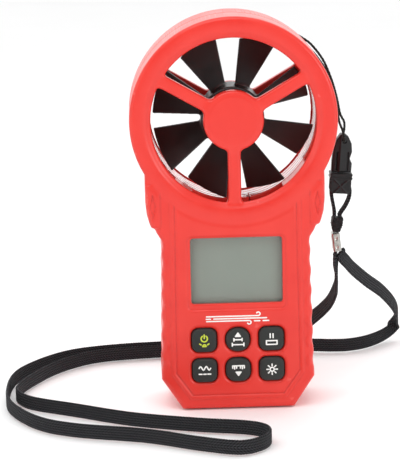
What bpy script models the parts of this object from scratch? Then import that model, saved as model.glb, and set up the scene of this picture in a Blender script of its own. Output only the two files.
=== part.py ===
"""Vane anemometer: a handheld air speed meter with a ring-shaped air duct, and its neck strap.

It stands on its base. Metres, +Z up, front towards -Y. The origin is the middle of the base.
"""

import math

import bmesh
import bpy
from mathutils import Matrix, Vector

MM = 0.001
GAP = 0.3 * MM  # left between pieces that touch

# Driving sizes
RING_RADIUS = 42.5 * MM
BODY_HEIGHT = 78.5 * MM  # base to the lowest point of the ring
CASE_DEPTH = 34.0 * MM
WALL = 2.0 * MM
RIM_WIDTH = 9.0 * MM  # from the ring's outside to the duct opening
EDGE_ROUND = 2.0 * MM
PANEL_RISE = 0.4 * MM
DISPLAY_WIDTH = 37.8 * MM
DISPLAY_HEIGHT = 27.7 * MM
DISPLAY_MARGIN = 11.7 * MM  # display opening to the case's side at the waist
KEYPAD_MARGIN = 11.6 * MM  # least from the outer keys to the case's side at the waist
BOARD_MARGIN = 1.5 * MM  # least from the display and the keys to the board's edge
DISPLAY_DROP = 19.6 * MM  # lowest point of the ring to the display's middle
KEY_WIDTH = 10.1 * MM
KEY_HEIGHT = 9.8 * MM
KEY_RISE = 1.0 * MM
KEY_TRAVEL = 1.0 * MM
KEY_CLEARANCE = 0.35 * MM
KEY_SPACING_X = 3.85 * MM
KEY_SPACING_Z = 3.05 * MM
KEY_DROP = 15.3 * MM  # display opening to the middle of the upper row of keys
BATTERY_WIDTH = 26.2 * MM
BATTERY_LENGTH = 46.0 * MM
BATTERY_DEPTH = 17.2 * MM

# The case's outline
BASE_HALF_WIDTH = 23.2 * MM
KEYPAD_HALF_WIDTH = 1.5 * KEY_WIDTH + KEY_SPACING_X
WAIST_HALF_WIDTH = max(DISPLAY_WIDTH / 2 + DISPLAY_MARGIN, KEYPAD_HALF_WIDTH + KEYPAD_MARGIN)
CORNER_HALF_WIDTH = WAIST_HALF_WIDTH + 1.2 * MM
CORNER_HEIGHT = 13.0 * MM
WAIST_HEIGHT = BODY_HEIGHT - 6.5 * MM
SHOULDER_HALF_WIDTH = RING_RADIUS - 5.8 * MM
RING_HEIGHT = BODY_HEIGHT + RING_RADIUS
ROUND_STEPS = 3
COVERS = ("front_cover", "rear_cover")
RING_SEGMENTS = 72

# Levels from front to back
OVERALL_DEPTH = CASE_DEPTH + PANEL_RISE + KEY_RISE
KEY_TOP_Y = -OVERALL_DEPTH / 2
PANEL_Y = KEY_TOP_Y + KEY_RISE
FRONT_Y = PANEL_Y + PANEL_RISE
BACK_Y = OVERALL_DEPTH / 2
MID_Y = (FRONT_Y + BACK_Y) / 2
INNER_FRONT_Y = FRONT_Y + WALL
INNER_BACK_Y = BACK_Y - WALL
WINDOW_Y = INNER_FRONT_Y + GAP
WINDOW_THICKNESS = 1.0 * MM
LCD_Y = WINDOW_Y + WINDOW_THICKNESS + GAP
LCD_THICKNESS = 2.4 * MM
BACKLIGHT_Y = LCD_Y + LCD_THICKNESS + GAP
BACKLIGHT_THICKNESS = 1.4 * MM
BOARD_Y = BACKLIGHT_Y + BACKLIGHT_THICKNESS + 0.6 * MM
BOARD_THICKNESS = 1.6 * MM
BOARD_BACK_Y = BOARD_Y + BOARD_THICKNESS
MAT_THICKNESS = 1.4 * MM
MAT_Y = BOARD_Y - GAP - MAT_THICKNESS
KEY_BACK_Y = MAT_Y - GAP - KEY_TRAVEL
OVERLAP = 0.5 * MM  # how far joined shapes run into each other

# Air duct
OPENING_RADIUS = RING_RADIUS - RIM_WIDTH
DUCT_INNER_RADIUS = OPENING_RADIUS + 0.9 * MM
DUCT_OUTER_RADIUS = DUCT_INNER_RADIUS + 1.9 * MM
SKIRT_INNER_RADIUS = DUCT_OUTER_RADIUS + 0.5 * MM
SKIRT_OUTER_RADIUS = SKIRT_INNER_RADIUS + 1.4 * MM
DUCT_FRONT_Y = MID_Y - 3.0 * MM
LIP_CHAMFER = 0.8 * MM
HUB_RADIUS = 12.4 * MM
STRUT_WIDTH = 5.3 * MM
STRUT_DEPTH = 4.5 * MM
STRUT_RECESS = 0.4 * MM
STRUT_ANGLES = (30, 150, 270)
LEDGE_ANGLES = ((226, 240), (305, 328))
SHAFT_RADIUS = 0.75 * MM
BEARING_RADIUS = 3.0 * MM
BEARING_LENGTH = 2.3 * MM
SHAFT_HALF_LENGTH = CASE_DEPTH / 2 - STRUT_RECESS - STRUT_DEPTH + BEARING_LENGTH - GAP
HUB_PLATE_THICKNESS = 1.0 * MM

# Rotor
BLADE_COUNT = 8
FIRST_BLADE_ANGLE = 25
ROTOR_HUB_RADIUS = 13.0 * MM
ROTOR_HUB_HALF_LENGTH = 9.0 * MM
TIP_CLEARANCE = 1.4 * MM
BLADE_THICKNESS = 0.9 * MM
BLADE_HALF_ANGLE = 14.5
BLADE_CORNER_RADIUS = DUCT_INNER_RADIUS - TIP_CLEARANCE
BLADE_HALF_DEPTH = CASE_DEPTH / 2 - STRUT_RECESS - STRUT_DEPTH - 2.2 * MM

# Inside the body
DISPLAY_Z = BODY_HEIGHT - DISPLAY_DROP
KEY_PITCH_X = KEY_WIDTH + KEY_SPACING_X
KEY_PITCH_Z = KEY_HEIGHT + KEY_SPACING_Z
KEY_UPPER_Z = DISPLAY_Z - DISPLAY_HEIGHT / 2 - KEY_DROP
BOARD_HALF_WIDTH = max(DISPLAY_WIDTH / 2, KEYPAD_HALF_WIDTH) + BOARD_MARGIN
BOARD_BOTTOM_Z = 8.0 * MM
BOARD_TOP_Z = DISPLAY_Z + DISPLAY_HEIGHT / 2 + 2.4 * MM
POST_X = DISPLAY_WIDTH / 2 - 1.9 * MM
POST_Z = DISPLAY_Z - DISPLAY_HEIGHT / 2 - 6.6 * MM
POST_RADIUS = 2.0 * MM
BAY_BOTTOM_Z = 5.5 * MM
BATTERY_Z = BAY_BOTTOM_Z + 0.5 * MM
BATTERY_BACK_Y = INNER_BACK_Y - 2.3 * MM
BATTERY_Y = BATTERY_BACK_Y - BATTERY_DEPTH
TERMINAL_X = 6.35 * MM
TERMINAL_HEIGHT = 2.5 * MM
SNAP_Z = BATTERY_Z + BATTERY_LENGTH + TERMINAL_HEIGHT + GAP
SNAP_THICKNESS = 3.0 * MM
BAY_CLEARANCE = 0.7 * MM
BAY_HALF_WIDTH = BATTERY_WIDTH / 2 + BAY_CLEARANCE
BAY_OUTER_HALF_WIDTH = BAY_HALF_WIDTH + 2.8 * MM
BAY_WALL = 1.5 * MM
BAY_TOP_Z = SNAP_Z + SNAP_THICKNESS + 2.0 * MM
BAY_FRONT_Y = BATTERY_Y - 0.6 * MM
DOOR_BOTTOM_Z = 8.0 * MM
DOOR_TOP_Z = BAY_TOP_Z - 1.0 * MM
DOOR_HALF_WIDTH = BAY_HALF_WIDTH + 1.2 * MM
DOOR_CLEARANCE = 0.35 * MM
SCREW_SHAFT_RADIUS = 1.0 * MM
SCREW_HOLE_RADIUS = SCREW_SHAFT_RADIUS + GAP
SCREW_HEAD_RADIUS = 2.0 * MM
SCREW_HEAD_HEIGHT = 1.6 * MM
BOSS_RADIUS = 3.3 * MM
HEAD_SEAT_Y = BACK_Y - 8.0 * MM
CASE_SCREWS = (
    (-CORNER_HALF_WIDTH + 7.3 * MM, 12.5 * MM),
    (CORNER_HALF_WIDTH - 7.3 * MM, 12.5 * MM),
    (-WAIST_HALF_WIDTH + 3.1 * MM, BODY_HEIGHT + 1.5 * MM),
    (WAIST_HALF_WIDTH - 3.1 * MM, BODY_HEIGHT + 1.5 * MM),
)

# Blade sensor under the duct
SENSOR_X = 4.55 * MM
SENSOR_HALF_WIDTH = 1.7 * MM
SENSOR_HALF_DEPTH = 4.2 * MM
SENSOR_BOARD_Z = RING_HEIGHT - SKIRT_OUTER_RADIUS - 2.2 * MM
SENSOR_BOARD_THICKNESS = 1.0 * MM
SENSOR_TOP_Z = RING_HEIGHT - DUCT_INNER_RADIUS + 0.6 * MM
SENSOR_BORE_RADIUS = 1.1 * MM
SENSOR_PITCH = 2.0 * MM

# Neck strap
CORD_DIAMETER = 1.0 * MM
WEBBING_WIDTH = 6.0 * MM
BAR_LOOP_WIDTH = 5.0 * MM
WEBBING_THICKNESS = 1.3 * MM
EYE_RADIUS = RING_RADIUS - 3.05 * MM
EYE_ANGLES = (50, 57.5)
EYE_HOLE_RADIUS = 1.1 * MM
EYE_POCKET_HALF_WIDTH = 1.0 * MM
EYE_POCKET_Y = INNER_BACK_Y - 2.4 * MM
BUCKLE_Y = 11.0 * MM
BUCKLE_PLACE = (45.9, BUCKLE_Y / MM, 94.0)  # in millimetres, as the routes below
BUCKLE_TILT = math.radians(4)
CRIMP_PLACE = (43.6, BUCKLE_Y / MM, 64.4)
CRIMP_TILT = math.radians(-6)

# The route of each cord, in millimetres, from one end to the other, as it hangs from a ring of this size
ROUTE_RING_RADIUS = 42.5 * MM
ROUTE_RING_HEIGHT = 121.0 * MM
ROUTE_BACK_Y = 17.7 * MM
ROUTE_FLOOR_Z = 3.3 * MM
ROUTE_HANG = 57.0 * MM  # from the floor run to where the strap moves fully with the ring
CORD_ROUTE = (
    (23.0, 14.4, 152.8), (24.6, 14.3, 151.7), (25.3, 15.4, 151.3), (25.5, 17.2, 151.3), (26.5, 19.0, 151.3),
    (28.5, 19.4, 151.4), (30.9, 18.2, 150.2), (34.6, 16.8, 147.4), (39.3, 15.5, 141.0), (42.7, 14.4, 132.7),
    (44.7, 13.4, 125.2), (46.0, 13.2, 118.6), (47.7, 13.9, 115.0), (47.9, 14.8, 112.0), (47.5, 15.0, 109.4),
    (47.3, 13.6, 107.4), (47.3, 11.0, 107.2), (47.3, 8.5, 107.4), (47.0, 7.0, 109.4), (46.4, 7.4, 112.4),
    (45.3, 9.2, 115.6), (44.8, 10.8, 119.8), (44.4, 12.9, 125.0), (43.0, 15.6, 131.2), (39.6, 17.8, 138.2),
    (34.9, 18.9, 144.6), (29.6, 19.4, 149.2), (25.2, 19.2, 152.9), (22.3, 18.7, 154.1), (21.4, 17.2, 154.2),
    (21.3, 15.4, 154.1), (21.6, 14.3, 153.8), (22.4, 14.4, 153.2),
)
BAR_LOOP_ROUTE = (
    (43.0, 75.4), (42.9, 78.0), (42.3, 81.5), (41.8, 85.0), (42.0, 87.9), (43.5, 89.9), (45.9, 90.4),
    (48.2, 89.5), (49.5, 87.2), (49.3, 83.6), (47.8, 80.0), (45.9, 77.2), (44.9, 75.4),
)
STRAP_ROUTE = (
    (43.2, 11.0, 59.6), (43.3, 11.4, 56.4), (43.8, 13.2, 51.6), (44.1, 16.4, 46.4), (44.0, 21.0, 41.2),
    (42.3, 28.0, 34.4), (39.4, 35.8, 28.6), (35.6, 43.0, 23.2), (29.0, 51.5, 15.4), (20.5, 59.0, 8.2),
    (10.0, 64.4, 4.2), (-4.0, 67.9, 3.3), (-18.0, 69.0, 3.3), (-32.7, 68.6, 3.3), (-54.5, 64.6, 3.3),
    (-66.4, 58.2, 3.3), (-77.8, 45.1, 3.3), (-86.4, 28.6, 3.3), (-92.0, 13.4, 3.3), (-92.8, 1.8, 3.3),
    (-86.4, -10.2, 3.3), (-67.8, -22.8, 3.3), (-43.8, -38.4, 3.3), (-17.7, -48.9, 3.3), (0.8, -54.4, 3.3),
    (8.4, -60.2, 3.3), (9.6, -68.6, 3.3), (5.4, -76.8, 3.3), (-3.4, -80.8, 3.3), (-18.9, -73.8, 3.3),
    (-38.8, -61.8, 3.3), (-66.8, -51.4, 3.3), (-82.7, -39.4, 3.3), (-94.4, -17.0, 3.3), (-97.2, 5.0, 3.3),
    (-95.2, 29.7, 3.3), (-86.5, 48.6, 3.3), (-72.5, 64.4, 3.3), (-54.5, 71.6, 3.3), (-32.6, 74.8, 3.3),
    (0.0, 76.0, 3.3), (21.0, 74.6, 3.3), (38.5, 71.8, 3.3), (47.4, 70.2, 3.3), (54.6, 70.6, 3.3),
    (62.4, 74.9, 3.3), (70.0, 83.2, 3.4), (75.8, 89.4, 5.0), (78.2, 88.6, 9.8), (77.6, 81.0, 15.4),
    (74.3, 68.6, 22.8), (67.3, 52.2, 32.6), (59.3, 37.2, 41.0), (52.0, 23.4, 49.4), (48.4, 16.0, 54.4),
    (46.3, 12.2, 57.2), (45.3, 11.0, 59.6),
)


# Shapes

def arc(centre, radius, start, end, steps):
    """Points (x, z) on an arc, with its angles in degrees, anticlockwise seen from the front."""
    points = []
    for step in range(steps + 1):
        angle = math.radians(start + (end - start) * step / steps)
        points.append((centre[0] + radius * math.cos(angle), centre[1] + radius * math.sin(angle)))
    return points


def rounded_rectangle(centre, width, height, radius, steps=3):
    """Outline (x, z) of a rectangle with round corners."""
    points = []
    for quarter, (side, level) in enumerate(((1, 1), (-1, 1), (-1, -1), (1, -1))):
        corner = (centre[0] + side * (width / 2 - radius), centre[1] + level * (height / 2 - radius))
        points += arc(corner, radius, 90 * quarter, 90 * quarter + 90, steps)
    return points


def case_outline():
    """Outline (x, z) of the case: chamfered base, waist, shoulders and the round of the ring."""
    start = math.degrees(math.acos(SHOULDER_HALF_WIDTH / RING_RADIUS))
    right = [
        (BASE_HALF_WIDTH, 0),
        (CORNER_HALF_WIDTH, CORNER_HEIGHT),
        (WAIST_HALF_WIDTH, WAIST_HEIGHT),
        (WAIST_HALF_WIDTH + 0.4 * (SHOULDER_HALF_WIDTH - WAIST_HALF_WIDTH), WAIST_HEIGHT + 3.6 * MM),
        (SHOULDER_HALF_WIDTH, WAIST_HEIGHT + 11.0 * MM),
    ]
    ring = arc((0, RING_HEIGHT), RING_RADIUS, -start, 180 + start, RING_SEGMENTS * 2 // 3)
    left = [(-x, z) for x, z in reversed(right)]
    return right + ring + left


def panel_outline():
    """Outline (x, z) of the raised front panel around the display and the keys."""
    inset = 4.6 * MM
    half = WAIST_HALF_WIDTH - inset
    low = CORNER_HEIGHT + 2.0 * MM
    foot = BASE_HALF_WIDTH - 3.2 * MM
    right = [(foot, inset), (half + 0.8 * MM, low), (half, WAIST_HEIGHT + 5.0 * MM)]
    return right + [(-x, z) for x, z in reversed(right)]


def inset_outline(points, distance):
    """The outline moved inwards by a distance, with its corners kept as corners."""
    moved = []
    for before, here, after in zip([points[-1]] + points[:-1], points, points[1:] + points[:1]):
        first = Vector((here[0] - before[0], here[1] - before[1])).normalized()
        second = Vector((after[0] - here[0], after[1] - here[1])).normalized()
        normal = Vector((-first.y - second.y, first.x + second.x))
        stretch = 2 * distance / normal.length_squared
        moved.append((here[0] + normal.x * stretch, here[1] + normal.y * stretch))
    return moved


def loft(rings):
    """Closed mesh through outlines, each a pair of its (x, z) points and its depth y."""
    mesh = bmesh.new()
    loops = [[mesh.verts.new((x, depth, z)) for x, z in points] for points, depth in rings]
    for near, far in zip(loops, loops[1:]):
        for index in range(len(near)):
            mesh.faces.new((near[index - 1], near[index], far[index], far[index - 1]))
    mesh.faces.new(loops[0])
    mesh.faces.new(loops[-1])
    return mesh


def prism(points, front, back):
    return loft([(points, front), (points, back)])


def rounded_slab(points, face, back, radius):
    """Slab with a rounded edge around its face."""
    sign = 1 if back > face else -1
    rings = [(points, back)]
    for step in range(ROUND_STEPS + 1):
        angle = math.pi / 2 * step / ROUND_STEPS
        inset = radius * (1 - math.cos(angle))
        rings.append((inset_outline(points, inset), face + sign * radius * (1 - math.sin(angle))))
    return loft(rings)


def box(x0, x1, y0, y1, z0, z1):
    return prism([(x0, z0), (x1, z0), (x1, z1), (x0, z1)], y0, y1)


def turned(profile, centre, segments):
    """Solid of revolution around the y direction from (radius, y) points; open at the axis if one is there."""
    mesh = bmesh.new()
    loops = []
    for radius, depth in profile:
        steps = segments if radius > 0 else 1
        loops.append([
            mesh.verts.new((centre[0] + radius * math.cos(2 * math.pi * step / segments), depth,
                            centre[1] + radius * math.sin(2 * math.pi * step / segments)))
            for step in range(steps)
        ])
    solid_axis = profile[0][0] == 0
    pairs = list(zip(loops, loops[1:]))
    if not solid_axis:
        pairs.append((loops[-1], loops[0]))
    for near, far in pairs:
        for index in range(segments):
            corners = []
            for loop, place in ((near, index - 1), (near, index), (far, index), (far, index - 1)):
                corner = loop[place] if len(loop) > 1 else loop[0]
                if corner not in corners:
                    corners.append(corner)
            mesh.faces.new(corners)
    return mesh


def cylinder(centre, radius, front, back, segments=24):
    return turned([(0, front), (radius, front), (radius, back), (0, back)], centre, segments)


def tube(centre, inner, outer, front, back, segments):
    return turned([(inner, front), (outer, front), (outer, back), (inner, back)], centre, segments)


def upright(mesh, centre):
    """Turns a shape made along y so that it stands along z, at centre (x, y)."""
    turn = Matrix.Translation((centre[0], centre[1], 0)) @ Matrix.Rotation(math.pi / 2, 4, "X")
    bmesh.ops.transform(mesh, matrix=turn, verts=mesh.verts)
    return mesh


def gathered(meshes):
    """One mesh that holds several shapes."""
    whole = bmesh.new()
    for mesh in meshes:
        copy = bpy.data.meshes.new("shape")
        mesh.to_mesh(copy)
        whole.from_mesh(copy)
        mesh.free()
        bpy.data.meshes.remove(copy)
    return whole


# Objects

def finish_of(name, colour, roughness, metallic=0.0):
    finish = bpy.data.materials.new(name)
    finish.use_nodes = True
    shader = finish.node_tree.nodes["Principled BSDF"]
    shader.inputs["Base Color"].default_value = (*colour, 1)
    shader.inputs["Roughness"].default_value = roughness
    shader.inputs["Metallic"].default_value = metallic
    return finish


def placed(name, mesh, finish=None, origin=(0, 0, 0)):
    """Object from a shape modelled about its origin."""
    bmesh.ops.recalc_face_normals(mesh, faces=mesh.faces)
    data = bpy.data.meshes.new(name)
    mesh.to_mesh(data)
    mesh.free()
    data.shade_smooth()
    data.set_sharp_from_angle(angle=math.radians(35))
    piece = bpy.data.objects.new(name, data)
    piece.location = origin
    bpy.context.scene.collection.objects.link(piece)
    if finish:
        data.materials.append(finish)
    return piece


def shape_with(piece, operation, name, mesh):
    """Cuts a shape from a piece or joins it on; the shape stays as a hidden guide.

    The covers' crossing ribs don't close under the exact solver.
    """
    guide = placed(piece.name + "_" + name, mesh)
    guide.location = piece.location
    guide.hide_render = True
    guide.display_type = "WIRE"
    modifier = piece.modifiers.new(name, "BOOLEAN")
    modifier.operation = operation
    modifier.solver = "MANIFOLD" if piece.name in COVERS else "EXACT"
    modifier.object = guide


def cut(piece, name, mesh):
    shape_with(piece, "DIFFERENCE", name, mesh)


def join(piece, name, mesh):
    shape_with(piece, "UNION", name, mesh)


# Case

def ring_axis():
    return (0, RING_HEIGHT)


def strut_shapes(front, back, width=STRUT_WIDTH):
    """The three struts from the hub to the skirt, as shapes."""
    shapes = []
    for degrees in STRUT_ANGLES:
        strut = box(HUB_RADIUS - 1.5 * MM, SKIRT_INNER_RADIUS + OVERLAP, front, back, -width / 2, width / 2)
        turn = Matrix.Translation((0, 0, RING_HEIGHT)) @ Matrix.Rotation(math.radians(-degrees), 4, "Y")
        bmesh.ops.transform(strut, matrix=turn, verts=strut.verts)
        shapes.append(strut)
    return shapes


def opening_shape(face, inside):
    """The duct opening with a chamfer at the face."""
    sign = 1 if inside > face else -1
    start = face - sign * MM
    profile = [
        (0, start),
        (OPENING_RADIUS + LIP_CHAMFER + MM, start),
        (OPENING_RADIUS, face + sign * LIP_CHAMFER),
        (OPENING_RADIUS, inside + sign * MM),
        (0, inside + sign * MM),
    ]
    return turned(profile, ring_axis(), RING_SEGMENTS)


def sector(inner, outer, start, end, front, back):
    points = arc(ring_axis(), outer, start, end, 6) + list(reversed(arc(ring_axis(), inner, start, end, 6)))
    return prism(points, front, back)


def sensor_notch():
    clear = 0.4 * MM
    half = SENSOR_HALF_WIDTH + clear
    deep = SENSOR_HALF_DEPTH + clear
    return box(SENSOR_X - half, SENSOR_X + half, MID_Y - deep, MID_Y + deep,
               SENSOR_BOARD_Z, RING_HEIGHT - OPENING_RADIUS + 3 * MM)


def key_places():
    """Each key's name and middle (x, z)."""
    names = (("key_power", "key_up", "key_hold"), ("key_average", "key_units", "key_light"))
    places = {}
    for row, line in enumerate(names):
        for column, name in enumerate(line):
            places[name] = ((column - 1) * KEY_PITCH_X, KEY_UPPER_Z - row * KEY_PITCH_Z)
    return places


def key_outline(name, centre, margin):
    """Rounded outline of a key; the middle ones are rounder."""
    width = KEY_WIDTH + 2 * margin
    height = KEY_HEIGHT + 2 * margin
    if name == "key_up":
        width = height
    share = {"key_up": 0.47, "key_units": 0.4}.get(name, 0.3)
    return rounded_rectangle(centre, width, height, share * height, 4)


def make_front_cover(finish):
    outline = case_outline()
    rear = MID_Y - GAP / 2
    cover = placed("front_cover", rounded_slab(outline, FRONT_Y, rear, EDGE_ROUND), finish)
    join(cover, "panel", rounded_slab(panel_outline(), PANEL_Y, FRONT_Y + OVERLAP, PANEL_RISE))
    cut(cover, "inside", prism(inset_outline(outline, WALL), INNER_FRONT_Y, rear + MM))
    cut(cover, "opening", opening_shape(FRONT_Y, INNER_FRONT_Y))
    join(cover, "skirt", tube(ring_axis(), SKIRT_INNER_RADIUS, SKIRT_OUTER_RADIUS,
                              INNER_FRONT_Y - OVERLAP, rear, RING_SEGMENTS))
    ledges = [
        sector(DUCT_INNER_RADIUS, SKIRT_INNER_RADIUS + OVERLAP, start, end,
               INNER_FRONT_Y - OVERLAP, DUCT_FRONT_Y - GAP)
        for start, end in LEDGE_ANGLES
    ]
    join(cover, "ledges", gathered(ledges))
    strut_front = FRONT_Y + STRUT_RECESS
    strut_back = strut_front + STRUT_DEPTH
    for place, strut in enumerate(strut_shapes(strut_front, strut_back)):
        join(cover, "strut_%d" % (place + 1), strut)
    join(cover, "hub", turned([(0, FRONT_Y), (9.4 * MM, FRONT_Y), (HUB_RADIUS, strut_front + 0.6 * MM),
                               (HUB_RADIUS, strut_back), (0, strut_back)], ring_axis(), 32))
    cut(cover, "bearing_seat", cylinder(ring_axis(), BEARING_RADIUS + GAP, strut_back - BEARING_LENGTH - GAP,
                                        strut_back + MM))
    cut(cover, "display_opening", prism(
        rounded_rectangle((0, DISPLAY_Z), DISPLAY_WIDTH, DISPLAY_HEIGHT, 1.2 * MM),
        PANEL_Y - MM, INNER_FRONT_Y + MM))
    holes = [
        prism(key_outline(name, place, KEY_CLEARANCE), PANEL_Y - MM, INNER_FRONT_Y + MM)
        for name, place in key_places().items()
    ]
    cut(cover, "key_holes", gathered(holes))
    bosses = [cylinder(place, BOSS_RADIUS, INNER_FRONT_Y - OVERLAP, rear, 20) for place in CASE_SCREWS]
    join(cover, "bosses", gathered(bosses))
    pilots = [cylinder(place, SCREW_HOLE_RADIUS, INNER_FRONT_Y + 3 * MM, rear + MM, 12) for place in CASE_SCREWS]
    cut(cover, "pilot_holes", gathered(pilots))
    posts = []
    post_holes = []
    for side in (-1, 1):
        posts.append(cylinder((side * POST_X, POST_Z), POST_RADIUS, INNER_FRONT_Y - OVERLAP, BOARD_Y - GAP, 16))
        post_holes.append(cylinder((side * POST_X, POST_Z), SCREW_HOLE_RADIUS, INNER_FRONT_Y + MM,
                                   BOARD_Y + MM, 12))
    join(cover, "board_posts", gathered(posts))
    cut(cover, "post_holes", gathered(post_holes))
    cut(cover, "sensor_notch", sensor_notch())


def make_rear_cover(finish):
    outline = case_outline()
    front = MID_Y + GAP / 2
    cover = placed("rear_cover", rounded_slab(outline, BACK_Y, front, EDGE_ROUND), finish)
    cut(cover, "inside", prism(inset_outline(outline, WALL), front - MM, INNER_BACK_Y))
    cut(cover, "opening", opening_shape(BACK_Y, INNER_BACK_Y))
    join(cover, "skirt", tube(ring_axis(), SKIRT_INNER_RADIUS, SKIRT_OUTER_RADIUS,
                              front, INNER_BACK_Y + OVERLAP, RING_SEGMENTS))
    strut_back = BACK_Y - STRUT_RECESS
    strut_front = strut_back - STRUT_DEPTH
    for place, strut in enumerate(strut_shapes(strut_front, strut_back)):
        join(cover, "strut_%d" % (place + 1), strut)
    join(cover, "hub", turned([(0, strut_front), (HUB_RADIUS, strut_front), (HUB_RADIUS, strut_back - 0.6 * MM),
                               (9.4 * MM, BACK_Y), (0, BACK_Y)], ring_axis(), 32))
    cut(cover, "bearing_seat", cylinder(ring_axis(), BEARING_RADIUS + GAP, strut_front - MM,
                                        strut_front + BEARING_LENGTH + GAP))
    join(cover, "battery_bay", box(-BAY_OUTER_HALF_WIDTH, BAY_OUTER_HALF_WIDTH, BAY_FRONT_Y,
                                   INNER_BACK_Y + OVERLAP, BAY_BOTTOM_Z - BAY_WALL, BAY_TOP_Z + BAY_WALL))
    cut(cover, "bay_inside", box(-BAY_HALF_WIDTH, BAY_HALF_WIDTH, BAY_FRONT_Y - MM, INNER_BACK_Y + MM / 4,
                                 BAY_BOTTOM_Z, BAY_TOP_Z))
    cut(cover, "door_opening", box(-DOOR_HALF_WIDTH - DOOR_CLEARANCE, DOOR_HALF_WIDTH + DOOR_CLEARANCE,
                                   INNER_BACK_Y - GAP, BACK_Y + MM, DOOR_BOTTOM_Z - DOOR_CLEARANCE,
                                   DOOR_TOP_Z + DOOR_CLEARANCE))
    cut(cover, "lead_notch", box(-5 * MM, 5 * MM, BAY_FRONT_Y - MM, BATTERY_Y + BATTERY_DEPTH / 2,
                                 BAY_TOP_Z - MM, BAY_TOP_Z + BAY_WALL + MM))
    bosses = [cylinder(place, BOSS_RADIUS, front, INNER_BACK_Y + OVERLAP, 20) for place in CASE_SCREWS]
    join(cover, "bosses", gathered(bosses))
    shafts = [cylinder(place, SCREW_HOLE_RADIUS, front - MM, BACK_Y + MM, 12) for place in CASE_SCREWS]
    cut(cover, "screw_holes", gathered(shafts))
    heads = [cylinder(place, SCREW_HEAD_RADIUS + GAP, HEAD_SEAT_Y, BACK_Y + MM, 16) for place in CASE_SCREWS]
    cut(cover, "head_wells", gathered(heads))
    eyes = []
    for angle in EYE_ANGLES:
        place = arc(ring_axis(), EYE_RADIUS, angle, angle, 1)[0]
        eyes.append(cylinder(place, EYE_HOLE_RADIUS, EYE_POCKET_Y, BACK_Y + MM, 16))
    cut(cover, "strap_eye", gathered(eyes))
    cut(cover, "eye_pocket", sector(EYE_RADIUS - EYE_POCKET_HALF_WIDTH, EYE_RADIUS + EYE_POCKET_HALF_WIDTH,
                                    *EYE_ANGLES, EYE_POCKET_Y, INNER_BACK_Y))
    cut(cover, "sensor_notch", sensor_notch())


def make_battery_door(finish):
    """Door that tips out about its lower outer edge, held by two tabs behind the case wall."""
    origin = Vector((0, BACK_Y, DOOR_BOTTOM_Z))
    height = DOOR_TOP_Z - DOOR_BOTTOM_Z
    door = placed("battery_door", box(-DOOR_HALF_WIDTH, DOOR_HALF_WIDTH, -WALL, 0, 0, height), finish, origin)
    tab_front = -WALL - GAP - 1.3 * MM
    tabs = []
    for side in (-1, 1):
        tabs.append(box(side * 8 * MM - 2 * MM, side * 8 * MM + 2 * MM, tab_front, -WALL - GAP,
                        -1.5 * MM, 2.5 * MM))
        tabs.append(box(side * 8 * MM - 2 * MM, side * 8 * MM + 2 * MM, tab_front, -WALL + OVERLAP,
                        0.8 * MM, 2.5 * MM))
    for place, tab in enumerate(tabs):
        join(door, "tab_%d" % (place + 1), tab)
    grooves = [
        box(-6 * MM, 6 * MM, -0.6 * MM, MM, height - 9 * MM + step * 1.8 * MM, height - 8.1 * MM + step * 1.8 * MM)
        for step in range(4)
    ]
    cut(door, "finger_grooves", gathered(grooves))


def make_duct_ring(finish):
    ring = placed("duct_ring", tube(ring_axis(), DUCT_INNER_RADIUS, DUCT_OUTER_RADIUS, DUCT_FRONT_Y,
                                    INNER_BACK_Y - GAP, RING_SEGMENTS), finish)
    slots = strut_shapes(BACK_Y - STRUT_RECESS - STRUT_DEPTH - GAP, BACK_Y, STRUT_WIDTH + 2 * GAP)
    for place, slot in enumerate(slots):
        cut(ring, "strut_slot_%d" % (place + 1), slot)
    cut(ring, "sensor_notch", sensor_notch())


# Rotor and its bearings

def blade_shape(degrees):
    """Flat blade on a radius, its anticlockwise edge forward, with a round tip."""
    half_angle = math.radians(BLADE_HALF_ANGLE)
    slope = BLADE_HALF_DEPTH / (BLADE_CORNER_RADIUS * math.sin(half_angle))
    root = ROTOR_HUB_RADIUS - MM
    outline = [(root, root * math.tan(half_angle)), (root, -root * math.tan(half_angle))]
    outline += [(BLADE_CORNER_RADIUS * math.cos(a), BLADE_CORNER_RADIUS * math.sin(a))
                for a in (-half_angle, -half_angle / 2, 0, half_angle / 2, half_angle)]
    normal = Vector((0, 1, slope)).normalized() * BLADE_THICKNESS / 2
    mesh = bmesh.new()
    loops = []
    for side in (-1, 1):
        loops.append([mesh.verts.new(Vector((along, -across * slope, across)) + normal * side)
                      for along, across in outline])
    for index in range(len(outline)):
        mesh.faces.new((loops[0][index - 1], loops[0][index], loops[1][index], loops[1][index - 1]))
    mesh.faces.new(loops[0])
    mesh.faces.new(loops[1])
    bmesh.ops.transform(mesh, matrix=Matrix.Rotation(math.radians(-degrees), 4, "Y"), verts=mesh.verts)
    return mesh


def make_vane_rotor(finish, axle):
    half = ROTOR_HUB_HALF_LENGTH
    bore = SHAFT_RADIUS + GAP
    profile = [(bore, -half), (11.6 * MM, -half), (ROTOR_HUB_RADIUS, -half + 1.4 * MM),
               (ROTOR_HUB_RADIUS, half - 1.4 * MM), (11.6 * MM, half), (bore, half)]
    rotor = placed("vane_rotor", turned(profile, (0, 0), 32), finish)
    rotor.parent = axle
    for index in range(BLADE_COUNT):
        mesh = blade_shape(FIRST_BLADE_ANGLE + index * 360 / BLADE_COUNT)
        join(rotor, "blade_%d" % (index + 1), mesh)
        rotor.modifiers[-1].object.parent = axle


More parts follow.
